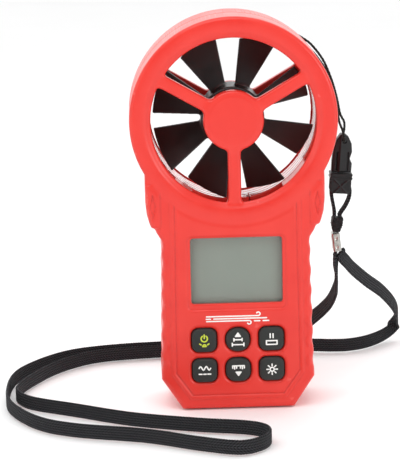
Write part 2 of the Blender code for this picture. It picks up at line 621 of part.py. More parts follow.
def make_shaft_and_bearings(steel, bronze, plastic, axle):
    shaft = placed("rotor_shaft", cylinder((0, 0), SHAFT_RADIUS, -SHAFT_HALF_LENGTH, SHAFT_HALF_LENGTH, 12), steel)
    shaft.parent = axle
    seat = CASE_DEPTH / 2 - STRUT_RECESS - STRUT_DEPTH
    for name, side in (("front_bearing", -1), ("rear_bearing", 1)):
        ends = sorted((MID_Y + side * seat, MID_Y + side * (seat + BEARING_LENGTH)))
        placed(name, tube(ring_axis(), SHAFT_RADIUS + GAP, BEARING_RADIUS, *ends, 16), bronze)
    plate_back = MID_Y + seat - GAP
    placed("rear_hub_plate", tube(ring_axis(), BEARING_RADIUS + GAP, HUB_RADIUS - 0.2 * MM,
                                  plate_back - HUB_PLATE_THICKNESS, plate_back, 32), plastic)


def make_blade_sensor(plastic, led, board, cable):
    x0 = SENSOR_X - SENSOR_HALF_WIDTH
    x1 = SENSOR_X + SENSOR_HALF_WIDTH
    base = SENSOR_BOARD_Z + SENSOR_BOARD_THICKNESS + GAP
    housing = placed("sensor_housing", box(x0, x1, MID_Y - SENSOR_HALF_DEPTH, MID_Y + SENSOR_HALF_DEPTH,
                                           base, SENSOR_TOP_Z), plastic)
    for name, side in (("infrared_emitter", -1), ("infrared_receiver", 1)):
        middle = (SENSOR_X, MID_Y + side * SENSOR_PITCH)
        bore = upright(cylinder((0, 0), SENSOR_BORE_RADIUS, base - MM, SENSOR_TOP_Z + MM, 12), middle)
        cut(housing, name + "_bore", bore)
        eye = upright(cylinder((0, 0), SENSOR_BORE_RADIUS - GAP, base, SENSOR_TOP_Z - 0.5 * MM, 12), middle)
        placed(name, eye, led)
    placed("sensor_board", box(x0 - 2 * MM, x1 + 2 * MM, MID_Y - SENSOR_HALF_DEPTH - MM,
                               MID_Y + SENSOR_HALF_DEPTH + MM, SENSOR_BOARD_Z,
                               SENSOR_BOARD_Z + SENSOR_BOARD_THICKNESS), board)
    low = BOARD_TOP_Z - 6 * MM
    start = SENSOR_BOARD_Z - GAP
    route = [(SENSOR_X, MID_Y - 2 * MM, start), (SENSOR_X, MID_Y - 2 * MM, start - 3 * MM),
             (SENSOR_X, BOARD_BACK_Y + 3 * MM, low), (SENSOR_X, BOARD_BACK_Y + 2 * GAP, low)]
    make_tube("sensor_lead", route, 1.0 * MM, 12, cable)


# Display, keys and boards

def plate(name, half_width, z0, z1, front, back, finish):
    return placed(name, box(-half_width, half_width, front, back, z0, z1), finish)


def make_display(window, glass, plastic, light, rubber):
    half = DISPLAY_WIDTH / 2
    low = DISPLAY_Z - DISPLAY_HEIGHT / 2
    high = DISPLAY_Z + DISPLAY_HEIGHT / 2
    plate("display_window", half + 1.6 * MM, low - 1.6 * MM, high + 1.6 * MM, WINDOW_Y,
          WINDOW_Y + WINDOW_THICKNESS, window)
    plate("lcd_panel", half + 1.4 * MM, low - 2.4 * MM, high + 1.4 * MM, LCD_Y, LCD_Y + LCD_THICKNESS, glass)
    holder = plate("lcd_holder", half + 3.2 * MM, low - 4.2 * MM, high + 3.0 * MM, LCD_Y, BOARD_Y - GAP, plastic)
    cut(holder, "frame_opening", box(-half - 1.8 * MM, half + 1.8 * MM, LCD_Y - MM, BOARD_Y + MM,
                                     low - 2.8 * MM, high + 1.8 * MM))
    plate("backlight", half + MM, low + 1.8 * MM, high + MM, BACKLIGHT_Y, BACKLIGHT_Y + BACKLIGHT_THICKNESS, light)
    plate("zebra_strip", half - MM, low - 2.0 * MM, low + MM, BACKLIGHT_Y, BOARD_Y - GAP, rubber)


def make_keys(finish):
    for name, (x, z) in key_places().items():
        mesh = rounded_slab(key_outline(name, (0, 0), 0), 0, KEY_BACK_Y - KEY_TOP_Y, 0.9 * MM)
        placed(name, mesh, finish, (x, KEY_TOP_Y, z))


def make_boards(board_finish, chip_finish, rubber, steel):
    board = plate("main_board", BOARD_HALF_WIDTH, BOARD_BOTTOM_Z, BOARD_TOP_Z, BOARD_Y, BOARD_BACK_Y, board_finish)
    for side in (-1, 1):
        place = (side * POST_X, POST_Z)
        number = "1" if side < 0 else "2"
        cut(board, "screw_hole_" + number, cylinder(place, SCREW_HOLE_RADIUS, BOARD_Y - MM, BOARD_BACK_Y + MM, 12))
        make_screw("board_screw_" + number, place, BOARD_BACK_Y + GAP, 1.2 * MM, INNER_FRONT_Y + 2 * MM, steel)
    low = KEY_UPPER_Z - KEY_PITCH_Z - KEY_HEIGHT / 2 - MM
    high = KEY_UPPER_Z + KEY_HEIGHT / 2 + MM
    plate("keypad_mat", KEY_PITCH_X + KEY_WIDTH / 2 + MM, low, high, MAT_Y, MAT_Y + MAT_THICKNESS, rubber)
    chip_back = BOARD_BACK_Y + GAP
    chip = box(-15 * MM, -5 * MM, chip_back, chip_back + 1.4 * MM, BOARD_TOP_Z - 11 * MM, BOARD_TOP_Z - MM)
    placed("measuring_chip", chip, chip_finish)


def make_screw(name, place, seat, head_height, tip, steel):
    """Pan-head screw with its head behind the seat and its tip towards the front."""
    profile = [(0, tip), (SCREW_SHAFT_RADIUS * 0.6, tip), (SCREW_SHAFT_RADIUS, tip + MM),
               (SCREW_SHAFT_RADIUS, seat), (SCREW_HEAD_RADIUS, seat),
               (SCREW_HEAD_RADIUS, seat + head_height * 0.6), (SCREW_HEAD_RADIUS * 0.7, seat + head_height),
               (0, seat + head_height)]
    screw = placed(name, turned(profile, place, 12), steel)
    slots = [
        box(place[0] - long, place[0] + long, seat + head_height * 0.4, seat + head_height + MM,
            place[1] - short, place[1] + short)
        for long, short in ((1.1 * MM, 0.25 * MM), (0.25 * MM, 1.1 * MM))
    ]
    for number, slot in enumerate(slots):
        cut(screw, "slot_%d" % (number + 1), slot)


def make_case_screws(steel):
    for number, place in enumerate(CASE_SCREWS):
        make_screw("case_screw_%d" % (number + 1), place, HEAD_SEAT_Y + GAP, SCREW_HEAD_HEIGHT,
                   INNER_FRONT_Y + 4 * MM, steel)


# Battery

def make_battery(jacket, plastic, red, black):
    half = BATTERY_WIDTH / 2
    middle = BATTERY_Y + BATTERY_DEPTH / 2
    top = BATTERY_Z + BATTERY_LENGTH
    battery = placed("battery", box(-half, half, BATTERY_Y, BATTERY_BACK_Y, BATTERY_Z, top), jacket)
    for side, radius in ((-1, 2.8 * MM), (1, 3.6 * MM)):
        terminal = upright(cylinder((0, 0), radius, top - OVERLAP, top + TERMINAL_HEIGHT, 12),
                           (side * TERMINAL_X, middle))
        join(battery, "terminal_%s" % ("plus" if side < 0 else "minus"), terminal)
    snap = box(-half + MM, half - MM, middle - 5.5 * MM, middle + 5.5 * MM, SNAP_Z, SNAP_Z + SNAP_THICKNESS)
    placed("battery_snap", snap, plastic)
    for name, x, finish in (("battery_lead_red", -2.5 * MM, red), ("battery_lead_black", 2.5 * MM, black)):
        start = SNAP_Z + SNAP_THICKNESS + 1.5 * GAP
        route = [(x, middle - 2.5 * MM, start), (x, middle - 2.5 * MM, start + 2 * MM),
                 (x, BOARD_BACK_Y + 4 * MM, start + 5.2 * MM),
                 (x, BOARD_BACK_Y + 1.5 * GAP, start + 5.2 * MM)]
        make_tube(name, route, 0.6 * MM, 10, finish)


# Cords

def smooth_route(points, count, bend_share):
    """Points on a smooth curve through the route's points, closer together where it bends.

    Each radian of bend counts as much as a straight run of length bend_share.
    """
    route = [Vector(point) for point in points]
    route = [route[0] * 2 - route[1]] + route + [route[-1] * 2 - route[-2]]
    dense = []
    for before, start, end, after in zip(route, route[1:], route[2:], route[3:]):
        for step in range(20):
            t = step / 20
            bend = (before * -1 + start * 3 - end * 3 + after) * t + before * 2 - start * 5 + end * 4 - after
            dense.append(start + ((bend * t + end - before) * t) / 2)
    dense.append(route[-2])
    lengths = [0.0, (dense[1] - dense[0]).length]
    for before, here, there in zip(dense, dense[1:], dense[2:]):
        bend = (here - before).angle(there - here, 0)
        lengths.append(lengths[-1] + (there - here).length + bend_share * bend)
    even = []
    place = 0
    for step in range(count):
        target = lengths[-1] * step / (count - 1)
        while place < len(dense) - 2 and lengths[place + 1] < target:
            place += 1
        share = (target - lengths[place]) / (lengths[place + 1] - lengths[place])
        even.append(dense[place].lerp(dense[place + 1], share))
    return even


def curve_piece(name, points, finish):
    """Curve object on a poly spline, with filled ends."""
    curve = bpy.data.curves.new(name, "CURVE")
    curve.dimensions = "3D"
    curve.use_fill_caps = True
    spline = curve.splines.new("POLY")
    spline.points.add(len(points) - 1)
    for point, place in zip(spline.points, points):
        point.co = (*place, 1)
    piece = bpy.data.objects.new(name, curve)
    bpy.context.scene.collection.objects.link(piece)
    curve.materials.append(finish)
    return piece


def make_tube(name, route, radius, count, finish):
    piece = curve_piece(name, smooth_route(route, count, 16 * radius), finish)
    piece.data.bevel_depth = radius
    piece.data.bevel_resolution = 2
    return piece


def make_webbing(name, points, width, finish):
    """Flat strap that stands on edge: its width lies in the upright plane of its run."""
    piece = curve_piece(name, points, finish)
    piece.data.twist_mode = "Z_UP"
    piece.data.extrude = (width - WEBBING_THICKNESS) / 2
    piece.data.bevel_depth = WEBBING_THICKNESS / 2
    piece.data.bevel_resolution = 2
    return piece


def hung(x, y, z):
    """A point of the strap in metres, moved with the ring and the back of the case; the run on the floor stays."""
    share = min(max((z * MM - ROUTE_FLOOR_Z) / ROUTE_HANG, 0), 1)
    growth = RING_RADIUS - ROUTE_RING_RADIUS
    above = max(math.atan2(z * MM - ROUTE_RING_HEIGHT, x * MM), 0)
    move = Vector((growth * math.cos(above), BACK_Y - ROUTE_BACK_Y,
                   RING_HEIGHT - ROUTE_RING_HEIGHT + growth * math.sin(above)))
    return Vector((x, y, z)) * MM + move * share


def make_strap(cord_finish, webbing_finish):
    cord = [hung(*point) for point in CORD_ROUTE]
    make_tube("lanyard_cord", cord, CORD_DIAMETER / 2, 62, cord_finish)
    strap = [hung(*point) for point in STRAP_ROUTE]
    make_webbing("strap_webbing", smooth_route(strap, 84, 8 * WEBBING_WIDTH), WEBBING_WIDTH, webbing_finish)
    around = [hung(x, BUCKLE_Y / MM, z) for x, z in BAR_LOOP_ROUTE]
    flat = smooth_route([Vector((place.x, place.z, 0)) for place in around], 22, 2 * BAR_LOOP_WIDTH)
    loop = make_webbing("strap_bar_loop", flat, BAR_LOOP_WIDTH, webbing_finish)
    loop.location = (0, around[0].y, 0)
    loop.rotation_euler = (math.pi / 2, 0, 0)


def tilt(piece, angle, origin):
    piece.location = origin
    piece.rotation_euler = (0, angle, 0)
    for modifier in piece.modifiers:
        modifier.object.location = origin
        modifier.object.rotation_euler = (0, angle, 0)


def make_buckle(finish):
    """Side-release buckle: the upper half carries the cord, the lower half a bar for the webbing."""
    outline = [(-4.2, 0.3), (4.2, 0.3), (4.3, 4.0), (3.3, 6.0), (4.1, 9.0), (3.7, 12.5), (2.2, 15.4), (0.6, 16.6),
               (-1.2, 16.4), (-2.8, 14.0), (-3.8, 10.0), (-4.2, 5.0)]
    outline = [(x * MM, z * MM) for x, z in outline]
    upper = placed("buckle_upper", prism(outline, -2.6 * MM, 2.6 * MM), finish)
    cut(upper, "cord_hole", prism(rounded_rectangle((0.5 * MM, 13.3 * MM), 2.2 * MM, 2.6 * MM, 1.0 * MM),
                                  -4 * MM, 4 * MM))
    tilt(upper, BUCKLE_TILT, hung(*BUCKLE_PLACE))
    lower = placed("buckle_lower", box(-4.7 * MM, 4.7 * MM, -4.1 * MM, 4.1 * MM, -2.6 * MM, 0), finish)
    for number, front in enumerate((-4.1 * MM, 2.8 * MM)):
        join(lower, "cheek_%d" % (number + 1), box(-4.6 * MM, 4.6 * MM, front, front + 1.3 * MM,
                                                   -7.6 * MM, -2.0 * MM))
    join(lower, "bar", box(-1.9 * MM, 2.6 * MM, -3.4 * MM, 3.4 * MM, -7.4 * MM, -5.6 * MM))
    tilt(lower, BUCKLE_TILT, hung(*BUCKLE_PLACE))


def make_crimp(metal, webbing_finish):
    half_x = WEBBING_THICKNESS + 0.4 * MM
    half_y = WEBBING_WIDTH / 2 + 0.5 * MM
    crimp = placed("strap_crimp", box(-half_x, half_x, -half_y, half_y, -3.9 * MM, 3.9 * MM), metal)
    tilt(crimp, CRIMP_TILT, hung(*CRIMP_PLACE))
    outline = rounded_rectangle((0.35 * MM, 7.4 * MM), 4.6 * MM, 5.8 * MM, 1.0 * MM)
    sewn = rounded_slab(outline, -half_y, half_y, 0.5 * MM)
    placed("strap_joint", sewn, webbing_finish, hung(*CRIMP_PLACE))


def main():
    for piece in list(bpy.data.objects):
        bpy.data.objects.remove(piece, do_unlink=True)
    red = finish_of("red_abs", (0.85, 0.06, 0.045), 0.38)
    black = finish_of("black_nylon", (0.012, 0.012, 0.013), 0.5)
    rubber = finish_of("black_rubber", (0.02, 0.02, 0.022), 0.65)
    grey = finish_of("grey_plastic", (0.55, 0.55, 0.56), 0.5)
    clear = finish_of("clear_acrylic", (0.6, 0.65, 0.6), 0.1)
    glass = finish_of("lcd_glass", (0.24, 0.28, 0.24), 0.25)
    light = finish_of("backlight_white", (0.8, 0.8, 0.76), 0.4)
    board = finish_of("board_green", (0.03, 0.2, 0.08), 0.5)
    steel = finish_of("steel", (0.6, 0.6, 0.6), 0.3, 1.0)
    bronze = finish_of("bronze", (0.6, 0.4, 0.15), 0.4, 1.0)
    webbing = finish_of("black_webbing", (0.015, 0.015, 0.015), 0.85)
    jacket = finish_of("battery_jacket", (0.1, 0.1, 0.12), 0.4)
    lead_red = finish_of("lead_red", (0.6, 0.03, 0.02), 0.5)
    axle = bpy.data.objects.new("rotor_axle", None)
    axle.location = (0, MID_Y, RING_HEIGHT)
    bpy.context.scene.collection.objects.link(axle)
    make_front_cover(red)
    make_rear_cover(red)
    make_duct_ring(red)
    make_vane_rotor(black, axle)
    make_shaft_and_bearings(steel, bronze, grey, axle)
    make_blade_sensor(red, black, board, black)
    make_display(clear, glass, grey, light, rubber)
    make_keys(rubber)
    make_boards(board, black, rubber, steel)
    make_case_screws(steel)
    make_battery(jacket, black, lead_red, black)
    make_battery_door(red)
    make_strap(black, webbing)
    make_buckle(black)
    make_crimp(steel, webbing)


main()
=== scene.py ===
"""Looks of a vane anemometer: a handheld air speed meter with a ring-shaped air duct and a neck strap.

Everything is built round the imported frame, in metres, with the front towards -Y. Moulded pieces are worked
out in millimetres, as fields that are negative inside the plastic, and then skinned.
"""
import math

import bpy
import numpy as np
from mathutils import Matrix, Vector


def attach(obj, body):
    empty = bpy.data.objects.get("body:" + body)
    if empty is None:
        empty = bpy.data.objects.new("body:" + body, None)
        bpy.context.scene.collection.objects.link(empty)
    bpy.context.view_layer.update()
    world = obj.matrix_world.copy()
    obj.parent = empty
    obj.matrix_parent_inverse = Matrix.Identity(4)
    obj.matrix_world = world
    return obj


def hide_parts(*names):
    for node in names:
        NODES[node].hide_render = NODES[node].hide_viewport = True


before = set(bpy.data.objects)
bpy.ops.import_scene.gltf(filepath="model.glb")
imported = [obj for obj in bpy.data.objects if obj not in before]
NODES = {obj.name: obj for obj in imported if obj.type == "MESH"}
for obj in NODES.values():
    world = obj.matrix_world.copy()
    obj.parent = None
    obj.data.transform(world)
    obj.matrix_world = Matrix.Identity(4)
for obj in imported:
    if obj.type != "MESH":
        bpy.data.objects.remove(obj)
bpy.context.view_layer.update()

MM = 0.001

# Camera
TARGET = Vector((-0.01424, 0.0, 0.07198))
DISTANCE = 0.9
AZIMUTH, ELEVATION, ROLL = (math.radians(degrees) for degrees in (-1.57, 11.64, -1.27))
LENS = 167.0


def set_camera():
    away = Vector((math.sin(AZIMUTH) * math.cos(ELEVATION), -math.cos(AZIMUTH) * math.cos(ELEVATION),
                   math.sin(ELEVATION)))
    right = (-away).cross(Vector((0, 0, 1))).normalized()
    up = right.cross(-away)
    turned_right = right * math.cos(ROLL) + up * math.sin(ROLL)
    turned_up = up * math.cos(ROLL) - right * math.sin(ROLL)
    data = bpy.data.cameras.new("camera")
    data.lens = LENS
    camera = bpy.data.objects.new("camera", data)
    bpy.context.scene.collection.objects.link(camera)
    camera.matrix_world = Matrix.Translation(TARGET + away * DISTANCE) @ Matrix(
        (turned_right, turned_up, away)).transposed().to_4x4()
    bpy.context.scene.camera = camera


set_camera()


# Pieces

def piece_of(name, points, faces, finish, smooth_below=35):
    """Mesh object from points in metres and faces, shaded smooth below an angle."""
    data = bpy.data.meshes.new(name)
    if isinstance(faces, np.ndarray):
        data.vertices.add(len(points))
        data.vertices.foreach_set("co", np.asarray(points, np.float32).ravel())
        data.loops.add(faces.size)
        data.loops.foreach_set("vertex_index", faces.astype(np.int32).ravel())
        data.polygons.add(len(faces))
        data.polygons.foreach_set("loop_start", np.arange(0, faces.size, faces.shape[1], dtype=np.int32))
        data.update(calc_edges=True)
        data.validate()
    else:
        data.from_pydata([tuple(point) for point in points], [], [list(face) for face in faces])
    data.shade_smooth()
    if smooth_below < 180:
        data.set_sharp_from_angle(angle=math.radians(smooth_below))
    data.materials.append(finish)
    piece = bpy.data.objects.new(name, data)
    bpy.context.scene.collection.objects.link(piece)
    return piece


def applied(piece):
    """The piece with its modifiers made part of its mesh."""
    made = bpy.data.meshes.new_from_object(piece.evaluated_get(bpy.context.evaluated_depsgraph_get()))
    piece.modifiers.clear()
    piece.data = made
    return piece


# Finishes

def linear(hex_colour):
    """sRGB hex to linear colour."""
    parts = [int(hex_colour[place:place + 2], 16) / 255 for place in (1, 3, 5)]
    return tuple(part / 12.92 if part <= 0.04045 else ((part + 0.055) / 1.055) ** 2.4
                 for part in parts) + (1,)


def add(tree, kind, links=None, stops=None, **settings):
    """Adds a node with its settings; links gives its inputs, each a value or another node's output."""
    node = tree.nodes.new(kind)
    for name, value in settings.items():
        setattr(node, name, value)
    for name, value in (links or {}).items():
        if isinstance(value, bpy.types.NodeSocket):
            tree.links.new(value, node.inputs[name])
        else:
            node.inputs[name].default_value = value
    if stops:
        ramp_stops = node.color_ramp.elements
        ramp_stops[0].position, ramp_stops[0].color = stops[0]
        ramp_stops[1].position, ramp_stops[1].color = stops[-1]
        for place, colour in stops[1:-1]:
            ramp_stops.new(place).color = colour
    return node


def finish_of(name, colour, roughness, **settings):
    """Material with the shader's own values set; settings name its other sockets."""
    finish = bpy.data.materials.new(name)
    finish.use_nodes = True
    shader = finish.node_tree.nodes["Principled BSDF"]
    shader.inputs["Base Color"].default_value = linear(colour)
    shader.inputs["Roughness"].default_value = roughness
    for socket, value in settings.items():
        shader.inputs[socket.replace("_", " ")].default_value = value
    return finish


SCUFF_SIZE = 1.6


def textured(finish, grain, grain_depth, colours, patch, polish=None, worn=None, groove_shade=None):
    """Gives a finish its grain, colour drift, polish, worn edges and painted shade in its grooves, in
    millimetres.
    """
    tree = finish.node_tree
    shader = tree.nodes["Principled BSDF"]
    place = add(tree, "ShaderNodeTexCoord").outputs["Object"]
    patches = add(tree, "ShaderNodeTexNoise", {"Vector": place, "Scale": 1 / (patch * MM), "Detail": 3.0,
                                               "Roughness": 0.55})
    shade = add(tree, "ShaderNodeValToRGB", {"Fac": patches.outputs["Fac"]},
                [(0.3, linear(colours[0])), (0.7, linear(colours[1]))]).outputs["Color"]
    if worn:
        edge = add(tree, "ShaderNodeMapRange",
                   {"Value": add(tree, "ShaderNodeNewGeometry").outputs["Pointiness"],
                    "From Min": 0.53, "From Max": 0.62, "To Max": 0.55})
        scuffs = add(tree, "ShaderNodeTexNoise", {"Vector": place, "Scale": 1 / (SCUFF_SIZE * MM),
                                                  "Detail": 5.0})
        rubbed = add(tree, "ShaderNodeMath", {0: edge.outputs["Result"], 1: scuffs.outputs["Fac"]},
                     operation="MULTIPLY")
        shade = add(tree, "ShaderNodeMix", {0: rubbed.outputs["Value"], 6: shade, 7: linear(worn)},
                    data_type="RGBA").outputs[2]
    # Painted shade: grooves and hollows, where the pointiness is low, are mixed towards a darker colour.
    if groove_shade:
        groove = add(tree, "ShaderNodeMapRange",
                     {"Value": add(tree, "ShaderNodeNewGeometry").outputs["Pointiness"],
                      "From Min": 0.492, "From Max": 0.45, "To Max": 0.6})
        shade = add(tree, "ShaderNodeMix", {0: groove.outputs["Result"], 6: shade, 7: linear(groove_shade)},
                    data_type="RGBA").outputs[2]
    tree.links.new(shade, shader.inputs["Base Color"])
    if polish:
        gloss = add(tree, "ShaderNodeMapRange", {"Value": patches.outputs["Fac"], "From Min": 0.3,
                                                 "From Max": 0.7, "To Min": polish[0], "To Max": polish[1]})
        tree.links.new(gloss.outputs["Result"], shader.inputs["Roughness"])
    texture = add(tree, "ShaderNodeTexNoise", {"Vector": place, "Scale": 1 / (grain * MM), "Detail": 2.0})
    bump = add(tree, "ShaderNodeBump", {"Height": texture.outputs["Fac"], "Strength": 1.0,
                                        "Distance": grain_depth * MM})
    tree.links.new(bump.outputs["Normal"], shader.inputs["Normal"])
    return finish


def make_finishes():
    made = {}
    # Injection-moulded ABS with a spark-eroded texture: a soft sheen, a fine sparkle, lighter where rubbed,
    # and painted shade that darkens its grooves and hollows.
    # The real grain of about 0.1 mm is drawn at 0.5 mm, so that it shows.
    made["red_abs"] = textured(finish_of("moulded_red_abs", "#DE2E24", 0.3, IOR=1.5),
                               0.5, 0.012, ("#DD2B21", "#E23429"), 14, (0.3, 0.38), "#F0766C", "#A81A14")
    # The same ABS from a polished mould: glossy walls that turn pale where they are seen at a low angle.
    made["duct_abs"] = textured(finish_of("polished_red_abs", "#D9352C", 0.16, IOR=1.54, Coat_Weight=0.6,
                                          Coat_Roughness=0.08, Coat_IOR=1.55),
                                1.2, 0.006, ("#D5332A", "#DE4036"), 10, (0.14, 0.24))
    # Glass-filled nylon of the vane wheel: near black and satin, with a polished hub rim.
    made["vane_nylon"] = textured(finish_of("glass_filled_black_nylon", "#151111", 0.42, IOR=1.53),
                                  0.6, 0.01, ("#110E0E", "#191515"), 6, (0.36, 0.5), "#3A3535")
    # Acetal of the buckle: black with a waxy sheen and mould marks.
    made["buckle_acetal"] = textured(finish_of("black_acetal", "#141415", 0.45, IOR=1.48,
                                               Specular_IOR_Level=0.35), 0.4, 0.012,
                                     ("#101011", "#1C1C1E"), 4, (0.38, 0.52), "#3A3A3C")
    # Silicone rubber keys: charcoal, matt, a little dusty at their edges.
    made["key_rubber"] = textured(finish_of("charcoal_silicone_rubber", "#242725", 0.5, IOR=1.43,
                                            Sheen_Weight=0.1, Sheen_Roughness=0.5),
                                  0.35, 0.012, ("#202321", "#292C2A"), 5, (0.5, 0.62), "#4B504C")
    # Screen-printed inks: flat and opaque, with a slightly uneven film.
    made["white_ink"] = textured(finish_of("white_screen_ink", "#F4F4F0", 0.5), 0.25, 0.004,
                                 ("#ECECE8", "#F8F8F4"), 2)
    made["lime_ink"] = textured(finish_of("lime_screen_ink", "#C9D63A", 0.5), 0.25, 0.004,
                                ("#BFCC30", "#D2DF46"), 2)
    # Reflective liquid-crystal glass with its polariser: an even grey-green, a little cloudy.
    made["lcd_glass"] = textured(finish_of("lcd_polariser_film", "#79827A", 0.34, IOR=1.52), 0.8, 0.0001,
                                 ("#767F76", "#7B847A"), 18, (0.3, 0.4))
    # Clear acrylic window: almost nothing but a faint gloss.
    made["window"] = textured(finish_of("clear_acrylic_window", "#B9C2B8", 0.08, IOR=1.49, Alpha=0.12),
                              6, 0.0001, ("#B4BDB3", "#BEC7BD"), 10, (0.06, 0.1))
    made["window"].blend_method = "BLEND"
    # Cast milky acrylic of the backlight: pale, soft and even.
    made["milky_acrylic"] = textured(finish_of("milky_backlight_acrylic", "#E4E4DC", 0.35, IOR=1.49),
                                     0.8, 0.004, ("#DFDFD7", "#E8E8E0"), 8)
    # Moulded grey ABS of the display holder and hub disc: satin, paler at its edges.
    made["grey_abs"] = textured(finish_of("light_grey_abs", "#B9B9B8", 0.34, IOR=1.54), 0.4, 0.01,
                                ("#B2B2B1", "#C0C0BE"), 5, (0.28, 0.4), "#D8D8D6")
    # Cast smoked epoxy of the emitter and receiver: glossy, with a violet cast.
    made["black_epoxy"] = textured(finish_of("smoked_epoxy", "#17131A", 0.14, IOR=1.55), 0.6, 0.004,
                                   ("#141017", "#1D1820"), 2)
    # Nickel-plated steel strip: bright and streaky, with cloudy handling marks.
    made["nickel"] = textured(finish_of("nickel_plated_steel", "#A9A7A2", 0.32, Metallic=1.0), 0.7, 0.03,
                              ("#97958F", "#BDBBB6"), 1.6, (0.24, 0.42), "#D8D6D0")
    # Zinc-plated turned steel: cool and bright, a little cloudy.
    made["zinc_steel"] = textured(finish_of("zinc_plated_screw_steel", "#A3A5A8", 0.3, Metallic=1.0),
                                  0.3, 0.01, ("#94979B", "#AEB0B2"), 1.5, (0.25, 0.4))
    # Pressed and sintered bronze: warm and dull, with open pores.
    made["bronze"] = textured(finish_of("sintered_bronze", "#A97B45", 0.45, Metallic=1.0), 0.15, 0.02,
                              ("#96693A", "#B98A52"), 1.0, (0.4, 0.55))
    # Glass-epoxy board under green solder mask: glossy, with paler copper showing through.
    made["solder_mask"] = textured(finish_of("green_solder_mask", "#14542A", 0.3, IOR=1.5), 0.5, 0.02,
                                   ("#0F4823", "#1C6434"), 2.2, (0.25, 0.4))
    # Moulded silicone of the keypad mat: grey, matt and even.
    made["mat_rubber"] = textured(finish_of("grey_keypad_silicone", "#7C7C7A", 0.6, IOR=1.43), 0.4, 0.01,
                                  ("#737371", "#858583"), 4)
    # Moulded epoxy of the chip: dull dark grey with a fine grain.
    made["chip_epoxy"] = textured(finish_of("moulded_chip_epoxy", "#1F1F20", 0.6), 0.15, 0.01,
                                  ("#1A1A1B", "#262627"), 1.5)
    # Extruded vinyl of the leads: a soft sheen along each wire.
    made["black_lead"] = textured(finish_of("black_lead_insulation", "#1C1C1D", 0.45, IOR=1.52), 0.5, 0.006,
                                  ("#191919", "#242425"), 3)
    made["red_lead"] = textured(finish_of("red_lead_insulation", "#A81F18", 0.42, IOR=1.52), 0.5, 0.006,
                                ("#9E1B15", "#B3261E"), 3)
    # Shrink-sleeved battery can: glossy dark jacket with faint lengthwise rolling.
    made["battery_jacket"] = textured(finish_of("battery_shrink_sleeve", "#30343A", 0.25, IOR=1.57,
                                                Coat_Weight=0.4, Coat_Roughness=0.1),
                                      2.5, 0.03, ("#2A2E34", "#3B4047"), 9)
    # Waxed thread sewn through and round the webbing: black, dull, with every stitch standing up.
    made["sewn_thread"] = textured(finish_of("black_sewing_thread", "#101011", 0.75, Specular_IOR_Level=0.25),
                                   0.5, 0.12, ("#09090A", "#2A2A2C"), 1.0)
    # Polyester webbing about 1.3 mm from rib to rib, and a braided cord with finer crossings.
    made["webbing"] = woven("black_polyester_webbing", "#060607", "#4A4A4E", 1.3, 0.3)
    made["braid"] = woven("black_braided_cord", "#0B0D0C", "#3C423E", 0.9, 0.08)
    return made


def woven(name, colour_low, colour_high, pitch, depth):
    """Polyester yarn woven along the piece's run: diagonal ribs, each yarn with a dull sheen."""
    finish = finish_of(name, colour_low, 0.8, IOR=1.53, Specular_IOR_Level=0.2)
    tree = finish.node_tree
    shader = tree.nodes["Principled BSDF"]
    run = add(tree, "ShaderNodeUVMap", uv_map="run")
    parts = add(tree, "ShaderNodeSeparateXYZ", {"Vector": run.outputs["UV"]})
    folded = add(tree, "ShaderNodeMath", {0: parts.outputs["Y"]}, operation="ABSOLUTE")
    slant = add(tree, "ShaderNodeMath", {0: parts.outputs["X"], 1: folded.outputs["Value"]},
                operation="ADD")
    ribs = add(tree, "ShaderNodeMath", {0: slant.outputs["Value"], 1: 2 * math.pi / pitch},
               operation="MULTIPLY")
    rib = add(tree, "ShaderNodeMath", {0: ribs.outputs["Value"]}, operation="SINE")
    yarns = add(tree, "ShaderNodeMath", {0: parts.outputs["Y"], 1: 2 * math.pi / (0.8 * pitch)},
                operation="MULTIPLY")
    yarn = add(tree, "ShaderNodeMath", {0: yarns.outputs["Value"]}, operation="COSINE")
    height = add(tree, "ShaderNodeMath", {0: rib.outputs["Value"], 1: yarn.outputs["Value"]},
                 operation="ADD")
    fuzz = add(tree, "ShaderNodeTexNoise", {"Vector": run.outputs["UV"], "Scale": 3.0, "Detail": 4.0})
    rough = add(tree, "ShaderNodeMath", {0: height.outputs["Value"], 1: fuzz.outputs["Fac"]},
                operation="ADD")
    lit = add(tree, "ShaderNodeMapRange", {"Value": rough.outputs["Value"], "From Min": -1.2,
                                           "From Max": 2.4})
    shade = add(tree, "ShaderNodeValToRGB", {"Fac": lit.outputs["Result"]},
                [(0.0, linear(colour_low)), (1.0, linear(colour_high))])
    tree.links.new(shade.outputs["Color"], shader.inputs["Base Color"])
    bump = add(tree, "ShaderNodeBump", {"Height": rough.outputs["Value"], "Distance": depth * MM})
    tree.links.new(bump.outputs["Normal"], shader.inputs["Normal"])
    return finish


FINISHES = make_finishes()


# Cords: their routes in millimetres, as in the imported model

CORD_ROUTE = (
    (23.0, 14.4, 152.8), (24.6, 14.3, 151.7), (25.3, 15.4, 151.3), (25.5, 17.2, 151.3), (26.5, 19.0, 151.3),
    (28.5, 19.4, 151.4), (30.9, 18.2, 150.2), (34.6, 16.8, 147.4), (39.3, 15.5, 141.0), (42.7, 14.4, 132.7),
    (44.7, 13.4, 125.2), (46.0, 13.2, 118.6), (47.7, 13.9, 115.0), (47.9, 14.8, 112.0), (47.5, 15.0, 109.4),
    (47.3, 13.6, 107.4), (47.3, 11.0, 107.2), (47.3, 8.5, 107.4), (47.0, 7.0, 109.4), (46.4, 7.4, 112.4),
    (45.3, 9.2, 115.6), (44.8, 10.8, 119.8), (44.4, 12.9, 125.0), (43.0, 15.6, 131.2), (39.6, 17.8, 138.2),
    (34.9, 18.9, 144.6), (29.6, 19.4, 149.2), (25.2, 19.2, 152.9), (22.3, 18.7, 154.1), (21.4, 17.2, 154.2),
    (21.3, 15.4, 154.1), (21.6, 14.3, 153.8), (22.4, 14.4, 153.2),
)
BUCKLE_Y = 11.0
